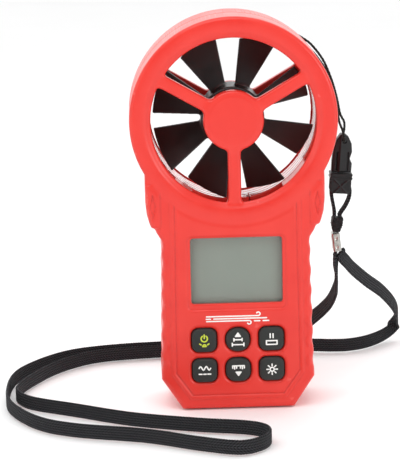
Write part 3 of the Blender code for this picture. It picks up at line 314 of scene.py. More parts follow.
BAR_LOOP_ROUTE = tuple((x, BUCKLE_Y, z) for x, z in (
    (43.0, 75.4), (42.9, 78.0), (42.3, 81.5), (41.8, 85.0), (42.0, 87.9), (43.5, 89.9), (45.9, 90.4),
    (48.2, 89.5), (49.5, 87.2), (49.3, 83.6), (47.8, 80.0), (45.9, 77.2), (44.9, 75.4),
))
STRAP_ROUTE = (
    (43.2, 11.0, 59.6), (43.3, 11.4, 56.4), (43.8, 13.2, 51.6), (44.1, 16.4, 46.4), (44.0, 21.0, 41.2),
    (42.3, 28.0, 34.4), (39.4, 35.8, 28.6), (35.6, 43.0, 23.2), (29.0, 51.5, 15.4), (20.5, 59.0, 8.2),
    (10.0, 64.4, 4.2), (-4.0, 67.9, 3.3), (-18.0, 69.0, 3.3), (-32.7, 68.6, 3.3), (-54.5, 64.6, 3.3),
    (-66.4, 58.2, 3.3), (-77.8, 45.1, 3.3), (-86.4, 28.6, 3.3), (-92.0, 13.4, 3.3), (-92.8, 1.8, 3.3),
    (-86.4, -10.2, 3.3), (-67.8, -22.8, 3.3), (-43.8, -38.4, 3.3), (-17.7, -48.9, 3.3), (0.8, -54.4, 3.3),
    (8.4, -60.2, 3.3), (9.6, -68.6, 3.3), (5.4, -76.8, 3.3), (-3.4, -80.8, 3.3), (-18.9, -73.8, 3.3),
    (-38.8, -61.8, 3.3), (-66.8, -51.4, 3.3), (-82.7, -39.4, 3.3), (-94.4, -17.0, 3.3), (-97.2, 5.0, 3.3),
    (-95.2, 29.7, 3.3), (-86.5, 48.6, 3.3), (-72.5, 64.4, 3.3), (-54.5, 71.6, 3.3), (-32.6, 74.8, 3.3),
    (0.0, 76.0, 3.3), (21.0, 74.6, 3.3), (38.5, 71.8, 3.3), (47.4, 70.2, 3.3), (54.6, 70.6, 3.3),
    (62.4, 74.9, 3.3), (70.0, 83.2, 3.4), (75.8, 89.4, 5.0), (78.2, 88.6, 9.8), (77.6, 81.0, 15.4),
    (74.3, 68.6, 22.8), (67.3, 52.2, 32.6), (59.3, 37.2, 41.0), (52.0, 23.4, 49.4), (48.4, 16.0, 54.4),
    (46.3, 12.2, 57.2), (45.3, 11.0, 59.6),
)
CORD_DIAMETER, WEBBING_WIDTH, BAR_LOOP_WIDTH, WEBBING_THICKNESS = 1.0, 6.0, 5.0, 1.3
BRAID_STRANDS, BRAID_PITCH, RIB_PITCH = 6, 1.6, 1.1


def smooth_route(points, spacing):
    """Points on a smooth curve through a route, evenly spaced."""
    route = [Vector(point) for point in points]
    route = [route[0] * 2 - route[1]] + route + [route[-1] * 2 - route[-2]]
    dense = []
    for before, start, end, after in zip(route, route[1:], route[2:], route[3:]):
        for step in range(40):
            t = step / 40
            bend = ((before * -1 + start * 3 - end * 3 + after) * t
                    + before * 2 - start * 5 + end * 4 - after)
            dense.append(start + ((bend * t + end - before) * t) / 2)
    dense = np.array([*dense, route[-2]])
    run = np.concatenate([[0], np.cumsum(np.linalg.norm(np.diff(dense, axis=0), axis=1))])
    even = np.linspace(0, run[-1], int(run[-1] / spacing) + 1)
    return np.stack([np.interp(even, run, dense[:, part]) for part in range(3)], 1), run[-1]


def swept(name, points, section, across, finish):
    """Closed tube along points in millimetres; section(run) gives its outline's points at each place."""
    tangents = np.gradient(points, axis=0)
    tangents /= np.linalg.norm(tangents, axis=1)[:, None]
    if across is None:
        wide = np.cross(tangents, tangents[:1] + (0.3, 0.2, 0.9))
        for place in range(1, len(wide)):
            wide[place] = wide[place - 1]
            wide[place] -= tangents[place] * (wide[place] @ tangents[place])
            wide[place] /= np.linalg.norm(wide[place])
        wide[0] = wide[1]
    else:
        wide = np.array(across) - tangents * (tangents @ np.array(across))[:, None]
        wide /= np.linalg.norm(wide, axis=1)[:, None]
    thick = np.cross(tangents, wide)
    run = np.concatenate([[0], np.cumsum(np.linalg.norm(np.diff(points, axis=0), axis=1))])
    w, t = section(run)
    shape = points[:, None] + wide[:, None] * w[:, :, None] + thick[:, None] * t[:, :, None]
    rings, around = w.shape
    index = np.arange(rings * around).reshape(rings, around)
    quads = np.stack([index[:-1], np.roll(index[:-1], -1, 1), np.roll(index[1:], -1, 1), index[1:]], 2)
    faces = [*quads.reshape(-1, 4).tolist(), index[0][::-1].tolist(), index[-1].tolist()]
    piece = piece_of(name, shape.reshape(-1, 3) * MM, faces, finish, 80)
    layer = piece.data.uv_layers.new(name="run")
    loops = np.empty(len(piece.data.loops), np.int32)
    piece.data.loops.foreach_get("vertex_index", loops)
    uv = np.stack([np.repeat(run, around), w.ravel()], 1)[loops]
    layer.data.foreach_set("uv", uv.astype(np.float32).ravel())
    start = Vector(points[0] * MM)
    if sum(side.normal @ (side.center - start) for side in piece.data.polygons[:around]) < 0:
        piece.data.flip_normals()
    return piece


def strap_section(width, thickness, pitch):
    """Woven flat strap: rounded selvedges, and a diagonal rib on both faces."""
    corners = []
    half_w, half_t = width / 2 - thickness / 2, thickness / 2
    for side in (1, -1):
        corners += [(side * (half_w + half_t * math.cos(a)), side * half_t * math.sin(a))
                    for a in np.linspace(-math.pi / 2, math.pi / 2, 7)]
        corners += [(side * half_w * share, side * half_t) for share in np.linspace(1, -1, 13)[1:-1]]
    corners = np.array(corners)

    def section(run):
        w = np.repeat(corners[None, :, 0], len(run), 0)
        t = np.repeat(corners[None, :, 1], len(run), 0)
        rib = (np.sin(2 * math.pi * (run[:, None] + np.abs(w)) / pitch)
               + 0.6 * np.cos(2 * math.pi * w / (0.75 * pitch)))
        edge = 0.07 * np.sin(2 * math.pi * run[:, None] / pitch) * (np.abs(w) > half_w)
        return w + np.sign(w) * edge, t * (1 + 0.05 * rib)
    return section


def braid_section(radius, strands, pitch):
    """Round braid: strands that cross over each other."""
    angles = np.linspace(0, 2 * math.pi, 2 * strands + 2, endpoint=False)

    def section(run):
        turn = 2 * math.pi * run[:, None] / pitch
        weave = np.abs(np.sin((strands / 2 * angles[None] + turn) / 2)) * np.abs(
            np.sin((strands / 2 * angles[None] - turn) / 2))
        size = radius * (0.93 + 0.14 * weave)
        return size * np.cos(angles), size * np.sin(angles)
    return section


def make_cords():
    """Thin cord of the ring, short loop through the buckle's bar, and the long neck strap."""
    webbing = FINISHES["webbing"]
    rows = (
        ("lanyard_braid", CORD_ROUTE, 0.22, braid_section(CORD_DIAMETER / 2, BRAID_STRANDS, BRAID_PITCH),
         None, FINISHES["braid"], "lanyard_cord", "nylon_cord", CORD_DIAMETER, "hanging", BUCKLES),
        ("buckle_bar_loop", BAR_LOOP_ROUTE, 0.28, strap_section(BAR_LOOP_WIDTH, WEBBING_THICKNESS, RIB_PITCH),
         (0, 1, 0), webbing, "strap_bar_loop", "nylon_webbing", BAR_LOOP_WIDTH, "hanging", []),
        ("neck_strap_webbing", STRAP_ROUTE, 0.28, strap_section(WEBBING_WIDTH, WEBBING_THICKNESS, RIB_PITCH),
         (0, 0, 1), webbing, "strap_webbing", "nylon_webbing", WEBBING_WIDTH, "loose", CRIMPED),
    )
    for name, route, spacing, section, across, finish, node, slot, diameter, lay, fittings in rows:
        points, length = smooth_route(route, spacing)
        piece = swept(name, points, section, across, finish)
        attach(piece, "case")
        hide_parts(node)


# Fields, in millimetres

def soft_min(a, b, blend):
    share = np.clip(0.5 + 0.5 * (b - a) / blend, 0, 1)
    return b * (1 - share) + a * share - blend * share * (1 - share)


def soft_max(a, b, blend):
    return -soft_min(-a, -b, blend)


def ramp(value, low, high):
    share = np.clip((value - low) / (high - low), 0, 1)
    return share * share * (3 - 2 * share)


def round_box(x, z, half_x, half_z, radius):
    dx = np.abs(x) - half_x + radius
    dz = np.abs(z) - half_z + radius
    return np.hypot(np.maximum(dx, 0), np.maximum(dz, 0)) + np.minimum(np.maximum(dx, dz), 0) - radius


def inside_polygon(x, z, points):
    """Distance to a closed outline, negative inside."""
    nearest = np.full(np.broadcast(x, z).shape, 1e9, np.float32)
    inside = np.zeros(nearest.shape, bool)
    for (x0, z0), (x1, z1) in zip(points, points[1:] + points[:1]):
        along_x, along_z = x1 - x0, z1 - z0
        share = np.clip(((x - x0) * along_x + (z - z0) * along_z) / (along_x ** 2 + along_z ** 2), 0, 1)
        nearest = np.minimum(nearest, (x - x0 - share * along_x) ** 2 + (z - z0 - share * along_z) ** 2)
        if z0 != z1:
            inside ^= ((z0 > z) != (z1 > z)) & (x < x0 + (z - z0) / along_z * along_x)
    return np.sqrt(nearest) * np.where(inside, -1, 1)


def slab(across, depth, radius):
    """Block from its outline's distance and its distance past one face, with a rounded edge."""
    a, b = across + radius, depth + radius
    return np.hypot(np.maximum(a, 0), np.maximum(b, 0)) + np.minimum(np.maximum(a, b), 0) - radius


def skinned(name, field, low, step, finish, most=None):
    """Closed mesh over a field's zero level, sampled from the low corner at a step along x, y and z."""
    cells = np.array(field.shape) - 1
    corners, places, quads = [], [], []
    for axis in range(3):
        first = tuple(slice(0, -1) if part == axis else slice(None) for part in range(3))
        second = tuple(slice(1, None) if part == axis else slice(None) for part in range(3))
        found = np.nonzero((field[first] < 0) != (field[second] < 0))
        start, end = field[first][found], field[second][found]
        place = np.stack(found, 1).astype(np.float32)
        place[:, axis] += start / (start - end)
        u, v = (axis + 1) % 3, (axis + 2) % 3
        around = []
        for step_u, step_v in ((0, 0), (1, 0), (1, 1), (0, 1)):
            cell = list(found)
            cell[u], cell[v] = cell[u] - step_u, cell[v] - step_v
            around.append((cell[0] * cells[1] + cell[1]) * cells[2] + cell[2])
        around = np.stack(around, 1)
        corners.append(around.ravel())
        places.append(np.repeat(place, 4, axis=0))
        quads.append(np.where((start < 0)[:, None], np.arange(4), np.arange(3, -1, -1)))
    used, number = np.unique(np.concatenate(corners), return_inverse=True)
    places = np.concatenate(places)
    count = np.bincount(number)
    points = np.stack([np.bincount(number, places[:, part]) / count for part in range(3)], 1)
    points = (points * np.array(step) + np.array(low)) * MM
    faces = np.take_along_axis(number.reshape(-1, 4), np.concatenate(quads), 1)
    piece = piece_of(name, points, faces, finish, 180)
    if most and 2 * len(faces) > most:
        thinner = piece.modifiers.new("thinner", "DECIMATE")
        thinner.ratio = most / (2 * len(faces))
        applied(piece)
    return piece


def moulded(name, shape, low, high, step, finish, most=None):
    """Skins shape(x, y, z) over a box, in millimetres."""
    x, y, z = (np.arange(a, b + s, s, dtype=np.float32) for a, b, s in zip(low, high, step))
    field = shape(x[:, None, None], y[None, :, None], z[None, None, :])
    return skinned(name, field, low, step, finish, most)


# Case covers: ABS, with the ring-shaped duct housing at the top

RING_Z = 121.0
RING_RADIUS = 42.5
OPENING_RADIUS = 33.5
FRONT_Y, BACK_Y, MID_Y = -16.3, 17.7, 0.7
WALL = 2.0
RING_EDGE_ROUND, BODY_EDGE_ROUND = 1.2, 2.4
SKIRT_RADIUS, SKIRT_HALF = 37.5, 0.7
STRUT_HALF_WIDTH, STRUT_RECESS, STRUT_DEPTH = 2.65, 0.4, 4.5
HUB_RADIUS, HUB_CROWN_RADIUS = 12.4, 10.4
STRUT_ANGLES = (30, 150, 270)
LEDGE_ANGLES = ((226, 240), (305, 328))
DISPLAY_Z, DISPLAY_HALF_WIDTH, DISPLAY_HALF_HEIGHT = 58.9, 18.9, 13.85
KEY_PITCH_X, KEY_PITCH_Z, KEY_UPPER_Z = 13.95, 12.85, 29.75
KEY_HALF_WIDTH, KEY_HALF_HEIGHT, KEY_CLEARANCE = 5.05, 4.9, 0.35
SCALLOP_PITCH, SCALLOP_DEPTH = 8.5, 0.45
BAY_Z, DOOR_Z = 32.65, 33.4
CASE_SCREWS = ((-24.5, 12.5), (24.5, 12.5), (-27.5, 80.0), (27.5, 80.0))
COVER_STEP = (0.4, 0.35, 0.4)
COVER_TRIANGLES = 150000


def mirrored(right):
    return list(right) + [(-x, z) for x, z in reversed(right)]


CASE_OUTLINE = mirrored((
    (23.2, 0.0), (31.8, 13.0), (30.6, 72.0), (32.4, 75.0), (33.2, 76.8), (34.6, 77.6), (35.2, 79.0),
    (36.3, 83.0), (36.8, 88.0), (36.8, 96.0), (36.7, 99.4), (33.0, 112.0)))
PANEL_OUTLINE = mirrored(((19.9, 4.4), (27.5, 15.2), (26.9, 76.0), (26.9, 94.0)))
PAD_OUTLINE = ((30.5, 77.5), (38.0, 76.0), (38.0, 95.0), (30.5, 97.0))


def key_places():
    names = (("key_power", "key_up", "key_hold"), ("key_average", "key_units", "key_light"))
    return {name: ((column - 1) * KEY_PITCH_X, KEY_UPPER_Z - row * KEY_PITCH_Z)
            for row, line in enumerate(names) for column, name in enumerate(line)}


def key_form(name):
    """Half width of a key and the share of its half height that is rounded; the middle keys are rounder."""
    return (KEY_HALF_HEIGHT if name == "key_up" else KEY_HALF_WIDTH,
            {"key_up": 0.94, "key_units": 0.8}.get(name, 0.6))


def key_edge(name, x, z, margin):
    """Distance to a key's outline."""
    place_x, place_z = key_places()[name]
    half_width, share = key_form(name)
    half_height = KEY_HALF_HEIGHT + margin
    return round_box(x - place_x, z - place_z, half_width + margin, half_height, share * half_height)


def case_edge(x, z):
    """Distance to the case's side, scalloped for grip along the body."""
    body = inside_polygon(x, z, CASE_OUTLINE)
    wave = 0.5 - 0.5 * np.cos(2 * math.pi * (z - 15.5) / SCALLOP_PITCH)
    grip = ramp(z, 14, 18) * ramp(73 - z, 0, 4)
    body = body + SCALLOP_DEPTH * wave * grip * ramp(np.abs(x), 22, 28)
    return np.minimum(body, np.hypot(x, z - RING_Z) - RING_RADIUS)


def turned(x, z, degrees):
    """Distances along and across a line from the ring's middle at an angle."""
    angle = math.radians(degrees)
    return (x * math.cos(angle) + (z - RING_Z) * math.sin(angle),
            (z - RING_Z) * math.cos(angle) - x * math.sin(angle))


def spokes(x, z):
    """Distance to the hub and its three struts, flared where they meet."""
    across = np.full(np.broadcast(x, z).shape, 1e3, np.float32)
    radius = np.hypot(x, z - RING_Z)
    for degrees in STRUT_ANGLES:
        along, beside = turned(x, z, degrees)
        strut = np.abs(beside) - STRUT_HALF_WIDTH - 0.9 * ramp(radius, 31.0, 35.0) ** 2
        across = np.minimum(across, np.maximum(strut, -along))
    across = soft_min(across, radius - HUB_RADIUS, 1.8)
    return np.maximum(across, radius - SKIRT_RADIUS)


def ring_crown(radius):
    """Height of the ring's face: a soft crown that slopes away to the duct opening."""
    crown = 0.6 * (1 - np.clip((radius - 39.2) / 4.2, -1, 1) ** 2)
    return crown - 1.1 * (np.clip(36.9 - radius, 0, 3.4) / 3.4) ** 1.5


def grille(x, y, z, face, side):
    """Hub and struts; side is -1 for the front cover and 1 for the rear."""
    radius = np.hypot(x, z - RING_Z)
    across = spokes(x, z)
    step = STRUT_RECESS * ramp(radius, HUB_CROWN_RADIUS + 0.7, HUB_RADIUS + 1.6)
    line = 0.16 * ramp(radius, HUB_CROWN_RADIUS - 0.45, HUB_CROWN_RADIUS + 0.1)
    surface = side * y - (side * face - step - line)
    back = (side * face - STRUT_RECESS - STRUT_DEPTH) - side * y
    bearing = np.maximum(radius - 3.3, side * y - (side * face - STRUT_RECESS - STRUT_DEPTH + 2.6))
    solid = soft_max(slab(across, surface, 1.1), back, 0.8)
    return soft_max(solid, -bearing, 0.3)


def cover(x, y, z, face, side, height, parting):
    """Shell of a cover, open towards the parting, with the skirt round the duct."""
    radius = np.hypot(x, z - RING_Z)
    edge = case_edge(x, z)
    edge_round = BODY_EDGE_ROUND + (RING_EDGE_ROUND - BODY_EDGE_ROUND) * ramp(44.5 - radius, -3, 0.5)
    outside = slab(edge, side * y - side * face - height, edge_round)
    inside = soft_max(edge + WALL, side * y - side * face + WALL, 1.2)
    shell = soft_max(outside, -inside, 0.6)
    shell = soft_max(shell, OPENING_RADIUS - radius, 1.2)
    skirt = np.maximum(np.abs(radius - SKIRT_RADIUS) - SKIRT_HALF, side * y - side * face + WALL / 2)
    shell = soft_min(shell, skirt, 0.5)
    shell = soft_min(shell, grille(x, y, z, face, side), 0.5)
    return soft_max(shell, side * parting - side * y, 0.2)


def sensor_notch(x, y, z):
    return np.maximum(np.maximum(np.abs(x - 4.55) - 2.1, np.abs(y - MID_Y) - 4.6), np.abs(z - 85.5) - 4.9)


def front_height(x, z):
    """Relief of the front face: panel and its groove, display bezel, key wells, grips and ring crown."""
    radius = np.hypot(x, z - RING_Z)
    panel = inside_polygon(x, z, PANEL_OUTLINE)
    body = 0.5 * ramp(-panel, -0.2, 0.5) - 0.6 * np.exp(-((panel + 1.9) / 0.45) ** 2)
    bezel = round_box(x, z - 58.05, 20.7, 15.85, 2.4)
    body = body - 0.5 * ramp(-bezel, -0.1, 0.6)
    for name in key_places():
        body = body - 0.45 * ramp(1.1 - key_edge(name, x, z, KEY_CLEARANCE), 0, 0.8)
    beside = np.abs(np.abs(x) - 29.4)
    above = np.abs((z - 15.5) / SCALLOP_PITCH % 1 - 0.5) * SCALLOP_PITCH
    lozenge = 1 - beside / 1.5 - above / 3.6
    body = body + 0.3 * ramp(lozenge, 0, 0.5) * ramp(z, 15, 18) * ramp(72 - z, 0, 3)
    pad = inside_polygon(np.abs(x), z, PAD_OUTLINE)
    inset = 1 - np.abs(np.abs(x) - 33.7) / 1.5 - np.abs(z - 86.5) / 6.4
    body = body + 0.7 * ramp(-pad, 0, 0.7) - 0.6 * ramp(inset, 0, 0.3)
    return body + (ring_crown(radius) - body) * ramp(44.5 - radius, 0, 3.5)


def front_cover_shape(x, y, z):
    """Front shell with its display and key openings, and two ledges that locate the duct ring."""
    cover_field = cover(x, y, z, FRONT_Y, -1, front_height(x, z), 0.62)
    holes = round_box(x, z - DISPLAY_Z, DISPLAY_HALF_WIDTH, DISPLAY_HALF_HEIGHT, 1.2)
    for name in key_places():
        holes = np.minimum(holes, key_edge(name, x, z, KEY_CLEARANCE))
    cover_field = soft_max(cover_field, -holes, 0.5)
    radius = np.hypot(x, z - RING_Z)
    angle = np.degrees(np.arctan2(z - RING_Z, x)) % 360
    for start, end in LEDGE_ANGLES:
        along = (np.abs(angle - (start + end) / 2) - (end - start) / 2) * 0.62
        ledge = np.maximum(np.maximum(np.abs(radius - 35.85) - 1.4, along), np.abs(y + 8.7) - 6.0)
        cover_field = soft_min(cover_field, ledge, 0.4)
    return np.maximum(cover_field, -sensor_notch(x, y, z))


EYE_RADIUS, EYE_ANGLES, EYE_POCKET_Y = 39.45, (50, 57.5), 13.3


def rear_cover_shape(x, y, z):
    """Rear shell with its battery bay, door opening, screw posts, and two cord eyes that share a pocket."""
    radius = np.hypot(x, z - RING_Z)
    panel = inside_polygon(x, z, PANEL_OUTLINE)
    body = -0.35 * np.exp(-((panel + 1.0) / 0.6) ** 2)
    height = body + (ring_crown(radius) - 0.2 - body) * ramp(44.5 - radius, 0, 3.5)
    cover_field = cover(x, y, z, BACK_Y, 1, height, 0.78)
    bay = np.maximum(np.maximum(np.abs(x) - 16.6, np.abs(z - BAY_Z) - 28.6), np.maximum(-4.4 - y, y - 16.0))
    room = np.maximum(np.maximum(np.abs(x) - 13.8, np.abs(z - BAY_Z) - 27.15), y - 15.95)
    cover_field = soft_min(cover_field, bay, 0.4)
    cover_field = soft_max(cover_field, -room, 0.4)
    for place_x, place_z in CASE_SCREWS:
        post = np.hypot(x - place_x, z - place_z)
        cover_field = soft_min(cover_field, np.maximum(post - 3.3, np.maximum(0.85 - y, y - 16.5)), 0.4)
        well = np.maximum(post - 2.3, 9.7 - y)
        cover_field = soft_max(cover_field, -np.minimum(well, post - 1.3), 0.4)
    door = np.maximum(round_box(x, z - DOOR_Z, 15.35, 25.75, 1.0), 15.4 - y)
    cover_field = soft_max(cover_field, -door, 0.3)
    notch = np.maximum(np.maximum(np.abs(x) - 5, np.abs(z - 60.5) - 2.5), y - 4.8)
    cover_field = soft_max(cover_field, -notch, 0.3)
    for degrees in EYE_ANGLES:
        eye = np.hypot(x - EYE_RADIUS * math.cos(math.radians(degrees)),
                       z - RING_Z - EYE_RADIUS * math.sin(math.radians(degrees)))
        cover_field = soft_max(cover_field, -np.maximum(eye - 1.1, EYE_POCKET_Y - y), 0.3)
    middle, reach = sum(EYE_ANGLES) / 2, (EYE_ANGLES[1] - EYE_ANGLES[0]) / 2
    between = np.abs(np.degrees(np.arctan2(z - RING_Z, x)) - middle) - reach
    pocket = np.maximum(np.maximum(between, np.abs(radius - EYE_RADIUS) - 1.0), np.abs(y - 14.5) - 1.2)
    cover_field = np.maximum(cover_field, -pocket)
    return np.maximum(cover_field, -sensor_notch(x, y, z))


# Duct ring and vane wheel

DUCT_STEP = (0.4, 0.2, 0.4)
DUCT_LINES = (1.0, 5.4, 9.8)
BLADE_ANGLES = [25 + 45 * place for place in range(8)]
BLADE_TIP_RADIUS, BLADE_HALF_DEPTH, BLADE_HALF_ANGLE = 33.0, 9.9, math.radians(14.5)
BLADE_THICKNESS = 0.9
STRUT_SLOT_HALF_WIDTH = 3.0
VANE_HUB_RADIUS, VANE_HUB_HALF_LENGTH = 13.0, 9.0


def duct_ring_shape(x, y, z):
    """Liner of the duct, with fine turned lines inside and slots for the rear struts."""
    radius = np.hypot(x, z - RING_Z)
    lines = sum(0.3 * np.exp(-((y - place) / 0.22) ** 2) for place in DUCT_LINES)
    wall = np.maximum(34.4 + lines - radius, radius - 36.3)
    ring = soft_max(wall, np.abs(y - 6.55) - 8.85, 0.4)
    for degrees in STRUT_ANGLES:
        along, beside = turned(x, z, degrees)
        slot = np.maximum(np.maximum(np.abs(beside) - STRUT_SLOT_HALF_WIDTH, -along), 12.5 - y)
        ring = np.maximum(ring, -slot)
    return np.maximum(ring, -sensor_notch(x, y, z))


def vane_rotor_shape(x, y, z):
    """Hub with a raised front rim and eight flat blades, their anticlockwise edges forward."""
    radius = np.hypot(x, z - RING_Z)
    depth = np.abs(y - MID_Y)
    hub = slab(radius - VANE_HUB_RADIUS, depth - VANE_HUB_HALF_LENGTH, 0.9)
    hub = soft_max(hub, -np.maximum(radius - 10.8, 7.6 - depth), 0.5)
    slope = BLADE_HALF_DEPTH / (BLADE_TIP_RADIUS * math.sin(BLADE_HALF_ANGLE))
    blades = np.full(np.broadcast(x, y, z).shape, 1e3, np.float32)
    for degrees in BLADE_ANGLES:
        along, beside = turned(x, z, degrees)
        face = np.abs(y - MID_Y + beside * slope) / math.hypot(1, slope) - BLADE_THICKNESS / 2
        side = np.abs(beside) * math.cos(BLADE_HALF_ANGLE) - along * math.sin(BLADE_HALF_ANGLE)
        blades = np.minimum(blades, soft_max(face, np.maximum(side, 11 - along), 0.35))
    blades = soft_max(blades, radius - BLADE_TIP_RADIUS, 0.35)
    return soft_max(soft_min(hub, blades, 1.4), 1.05 - radius, 0.3)


# Battery door

def battery_door_shape(x, y, z):
    """Tip-out door: finger grooves above a pressed arrow, and two tabs behind its lower edge."""
    door = slab(round_box(x, z - DOOR_Z, 15.0, 25.4, 0.8), np.abs(y - 16.7) - 1.0, 0.4)
    for step in range(4):
        groove = np.hypot(z - 50.25 - 1.8 * step, (y - 18.0) * 0.9) - 0.75
        door = soft_max(door, -np.maximum(groove, np.abs(x) - 6), 0.25)
    arrow = np.maximum((z - 41.5) * 0.5 + np.abs(x) * 0.86 - 2.2, 41.5 - z - 1.1)
    door = soft_max(door, -np.maximum(np.abs(arrow) - 0.35, 17.3 - y), 0.2)
    frame_line = np.abs(round_box(x, z - DOOR_Z, 12.6, 23.0, 1.5)) - 0.4
    door = soft_max(door, -np.maximum(frame_line, 17.45 - y), 0.2)
    beside = np.abs(np.abs(x) - 8) - 2
    tab = np.maximum(np.maximum(beside, np.abs(z - 8.5) - 2.0), np.abs(y - 14.75) - 0.65)
    neck = np.maximum(np.maximum(beside, np.abs(z - 9.65) - 0.85), np.abs(y - 15.3) - 1.0)
    return soft_min(soft_min(door, tab, 0.2), neck, 0.2)


# Strap fittings

BUCKLE_PLACE, BUCKLE_TILT = (45.9, BUCKLE_Y, 94.0), math.radians(4)
CRIMP_PLACE, CRIMP_TILT = (43.6, BUCKLE_Y, 64.4), math.radians(-6)
BUCKLE_OUTLINE = ((-4.2, 0.3), (4.2, 0.3), (4.3, 4.0), (3.3, 6.0), (4.1, 9.0), (3.7, 12.5), (2.2, 15.4),
                  (0.6, 16.6), (-1.2, 16.4), (-2.8, 14.0), (-3.8, 10.0), (-4.2, 5.0))


def buckle_upper_shape(x, y, z):
    """Upper half: a faceted shell with spring arms each side of a keel, and an eye for the cord."""
    edge = inside_polygon(x, z, BUCKLE_OUTLINE)
    facet = 0.9 - 0.9 * np.clip(np.abs(x + 0.9) / 4.4, 0, 1) + 0.3 * np.exp(-((x + 0.9) / 0.3) ** 2)
    shell = slab(edge, np.abs(y) - 1.75 - facet, 0.5)
    for side in (-1, 1):
        slit = np.maximum(np.abs(x - side * 2.3 - 0.1) - 0.28, np.abs(z - 4.9) - 3.9)
        shell = soft_max(shell, -np.maximum(slit, 1.4 - np.abs(y)), 0.2)
    eye = np.hypot(x - 0.5, z - 13.3) - 0.75
    return soft_max(shell, -eye, 0.3)


def buckle_lower_shape(x, y, z):
    """Lower half: a stepped collar, two cheeks and the bar that the webbing turns on."""
    collar = slab(round_box(x, z + 1.3, 4.7, 1.3, 0.4), np.abs(y) - 4.1, 0.4)
    collar = soft_max(collar, 0.4 - np.hypot(z + 1.3, np.maximum(4.2 - np.abs(y), 0)), 0.2)
    collar = soft_max(collar, 0.35 - np.hypot(z + 1.3, np.maximum(4.8 - np.abs(x), 0)), 0.2)
    cross = np.minimum(np.abs(x + z + 5.6), np.abs(x - z - 5.6))
    rib = 0.4 * np.exp(-(cross / 0.4) ** 2) * ramp(4.0 - np.abs(x), 0, 0.6)
    cheek = np.maximum(round_box(x, z + 5.3, 4.35, 3.3, 1.4), np.abs(np.abs(y) - 3.2) - 0.45 - rib)
    bar = np.maximum(round_box(x - 0.35, z + 6.5, 2.25, 0.9, 0.6), np.abs(y) - 3.4)
    body = soft_min(collar, soft_max(cheek, np.abs(y) - 4.1, 0.3), 0.5)
    return soft_min(body, bar, 0.3)


def crimp_shape(x, y, z):
    """Folded nickel strip: round bends, an open seam in its left side and two dimples in front."""
    edge = round_box(x, y, 1.7, 3.5, 0.8)
    sleeve = soft_max(edge, np.abs(z) - 3.9, 0.4)
    seam = np.maximum(np.abs(y - 0.6) - 0.15, x + 1.45)
    sleeve = soft_max(sleeve, -seam, 0.15)
    for level in (-1.9, 1.9):
        sleeve = soft_max(sleeve, 0.55 - np.sqrt((y + 3.75) ** 2 + x ** 2 + ((z - level) * 0.6) ** 2), 0.3)
    return sleeve


def sewn_joint_shape(x, y, z):
    """Webbing ends stacked and sewn flat, bound round with thread."""
    narrow = 0.7 * ramp(7.8 - z, 0, 3.2)
    fork = 0.9 * ramp(z, 9.2, 10.8) * np.exp(-((x - 0.35) / 0.8) ** 2)
    edge = round_box(x - 0.35 + 0.12 * (7.4 - z), z - 7.3, 2.3, 3.5, 1.0) + narrow + fork
    pad = slab(edge, np.abs(y) - 3.5, 0.6)
    binding = 0.12 * np.sin(2 * math.pi * (z + 0.3 * x) / 1.1) * ramp(2.4 - np.abs(z - 7.4), 0, 0.8)
    return pad - binding


def fitting(name, shape, low, high, step, finish, place, tilt, node):
    piece = moulded(name, shape, low, high, step, finish)
    piece.location = Vector(place) * MM
    piece.rotation_euler = (0, tilt, 0)
    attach(piece, "case")
    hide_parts(node)
    return piece


FINE_STEP = (0.2, 0.2, 0.2)
BUCKLES = [
    fitting("buckle_shell", buckle_upper_shape, (-5.0, -3.4, -0.4), (5.0, 3.4, 17.4), FINE_STEP,
            FINISHES["buckle_acetal"], BUCKLE_PLACE, BUCKLE_TILT, "buckle_upper"),
    fitting("buckle_collar", buckle_lower_shape, (-5.4, -4.8, -9.3), (5.4, 4.8, 0.7), FINE_STEP,
            FINISHES["buckle_acetal"], BUCKLE_PLACE, BUCKLE_TILT, "buckle_lower"),
]
CRIMPED = [
    fitting("crimp_sleeve", crimp_shape, (-2.4, -4.2, -4.6), (2.4, 4.2, 4.6), FINE_STEP,
            FINISHES["nickel"], CRIMP_PLACE, CRIMP_TILT, "strap_crimp"),
    fitting("sewn_strap_joint", sewn_joint_shape, (-3.2, -4.3, 3.2), (3.5, 4.3, 11.6), FINE_STEP,
            FINISHES["sewn_thread"], CRIMP_PLACE, 0.0, "strap_joint"),
]
make_cords()


def make_case():
    """Covers, duct ring, vane wheel and battery door, each riding on its body."""
    rows = (
        ("front_cover", front_cover_shape, (-44.2, -18.2, -1.4), (44.2, 1.5, 165.2), COVER_STEP, "red_abs",
         COVER_TRIANGLES, "case", "red_shell"),
        ("rear_cover", rear_cover_shape, (-44.2, -5.5, -1.4), (44.2, 19.3, 165.2), COVER_STEP, "red_abs",
         COVER_TRIANGLES, "case", "red_shell"),
        ("duct_ring", duct_ring_shape, (-37.4, -3.2, 83.6), (37.4, 16.4, 158.4), DUCT_STEP, "duct_abs",
         60000, "case", "duct_plastic"),
        ("vane_rotor", vane_rotor_shape, (-34.0, -10.6, 87.0), (34.0, 12.0, 155.0), (0.35, 0.3, 0.35),
         "vane_nylon", 90000, "rotor", "black_plastic"),
        ("battery_door", battery_door_shape, (-15.8, 13.3, 5.7), (15.8, 18.5, 59.6), (0.25, 0.2, 0.25),
         "red_abs", 50000, "battery_door", "red_shell"),
    )
    for node, shape, low, high, step, finish, most, body, slot in rows:
        piece = moulded(node + "_moulding", shape, low, high, step, FINISHES[finish], most)
        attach(piece, body)
        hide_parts(node)


make_case()


# Keys and printing

KEY_TOP_Y, KEY_BACK_Y, KEY_DOME, KEY_EDGE = -17.7, -11.0, 0.3, 0.9
WIND_SIGN_Y, WIND_SIGN_Z = -16.86, 38.8
INK_STEP, INK_HALF_THICKNESS = (0.08, 0.04, 0.08), 0.06
KEY_SIGN_HALF_LINE, WIND_SIGN_HALF_LINE = 0.29, 0.28


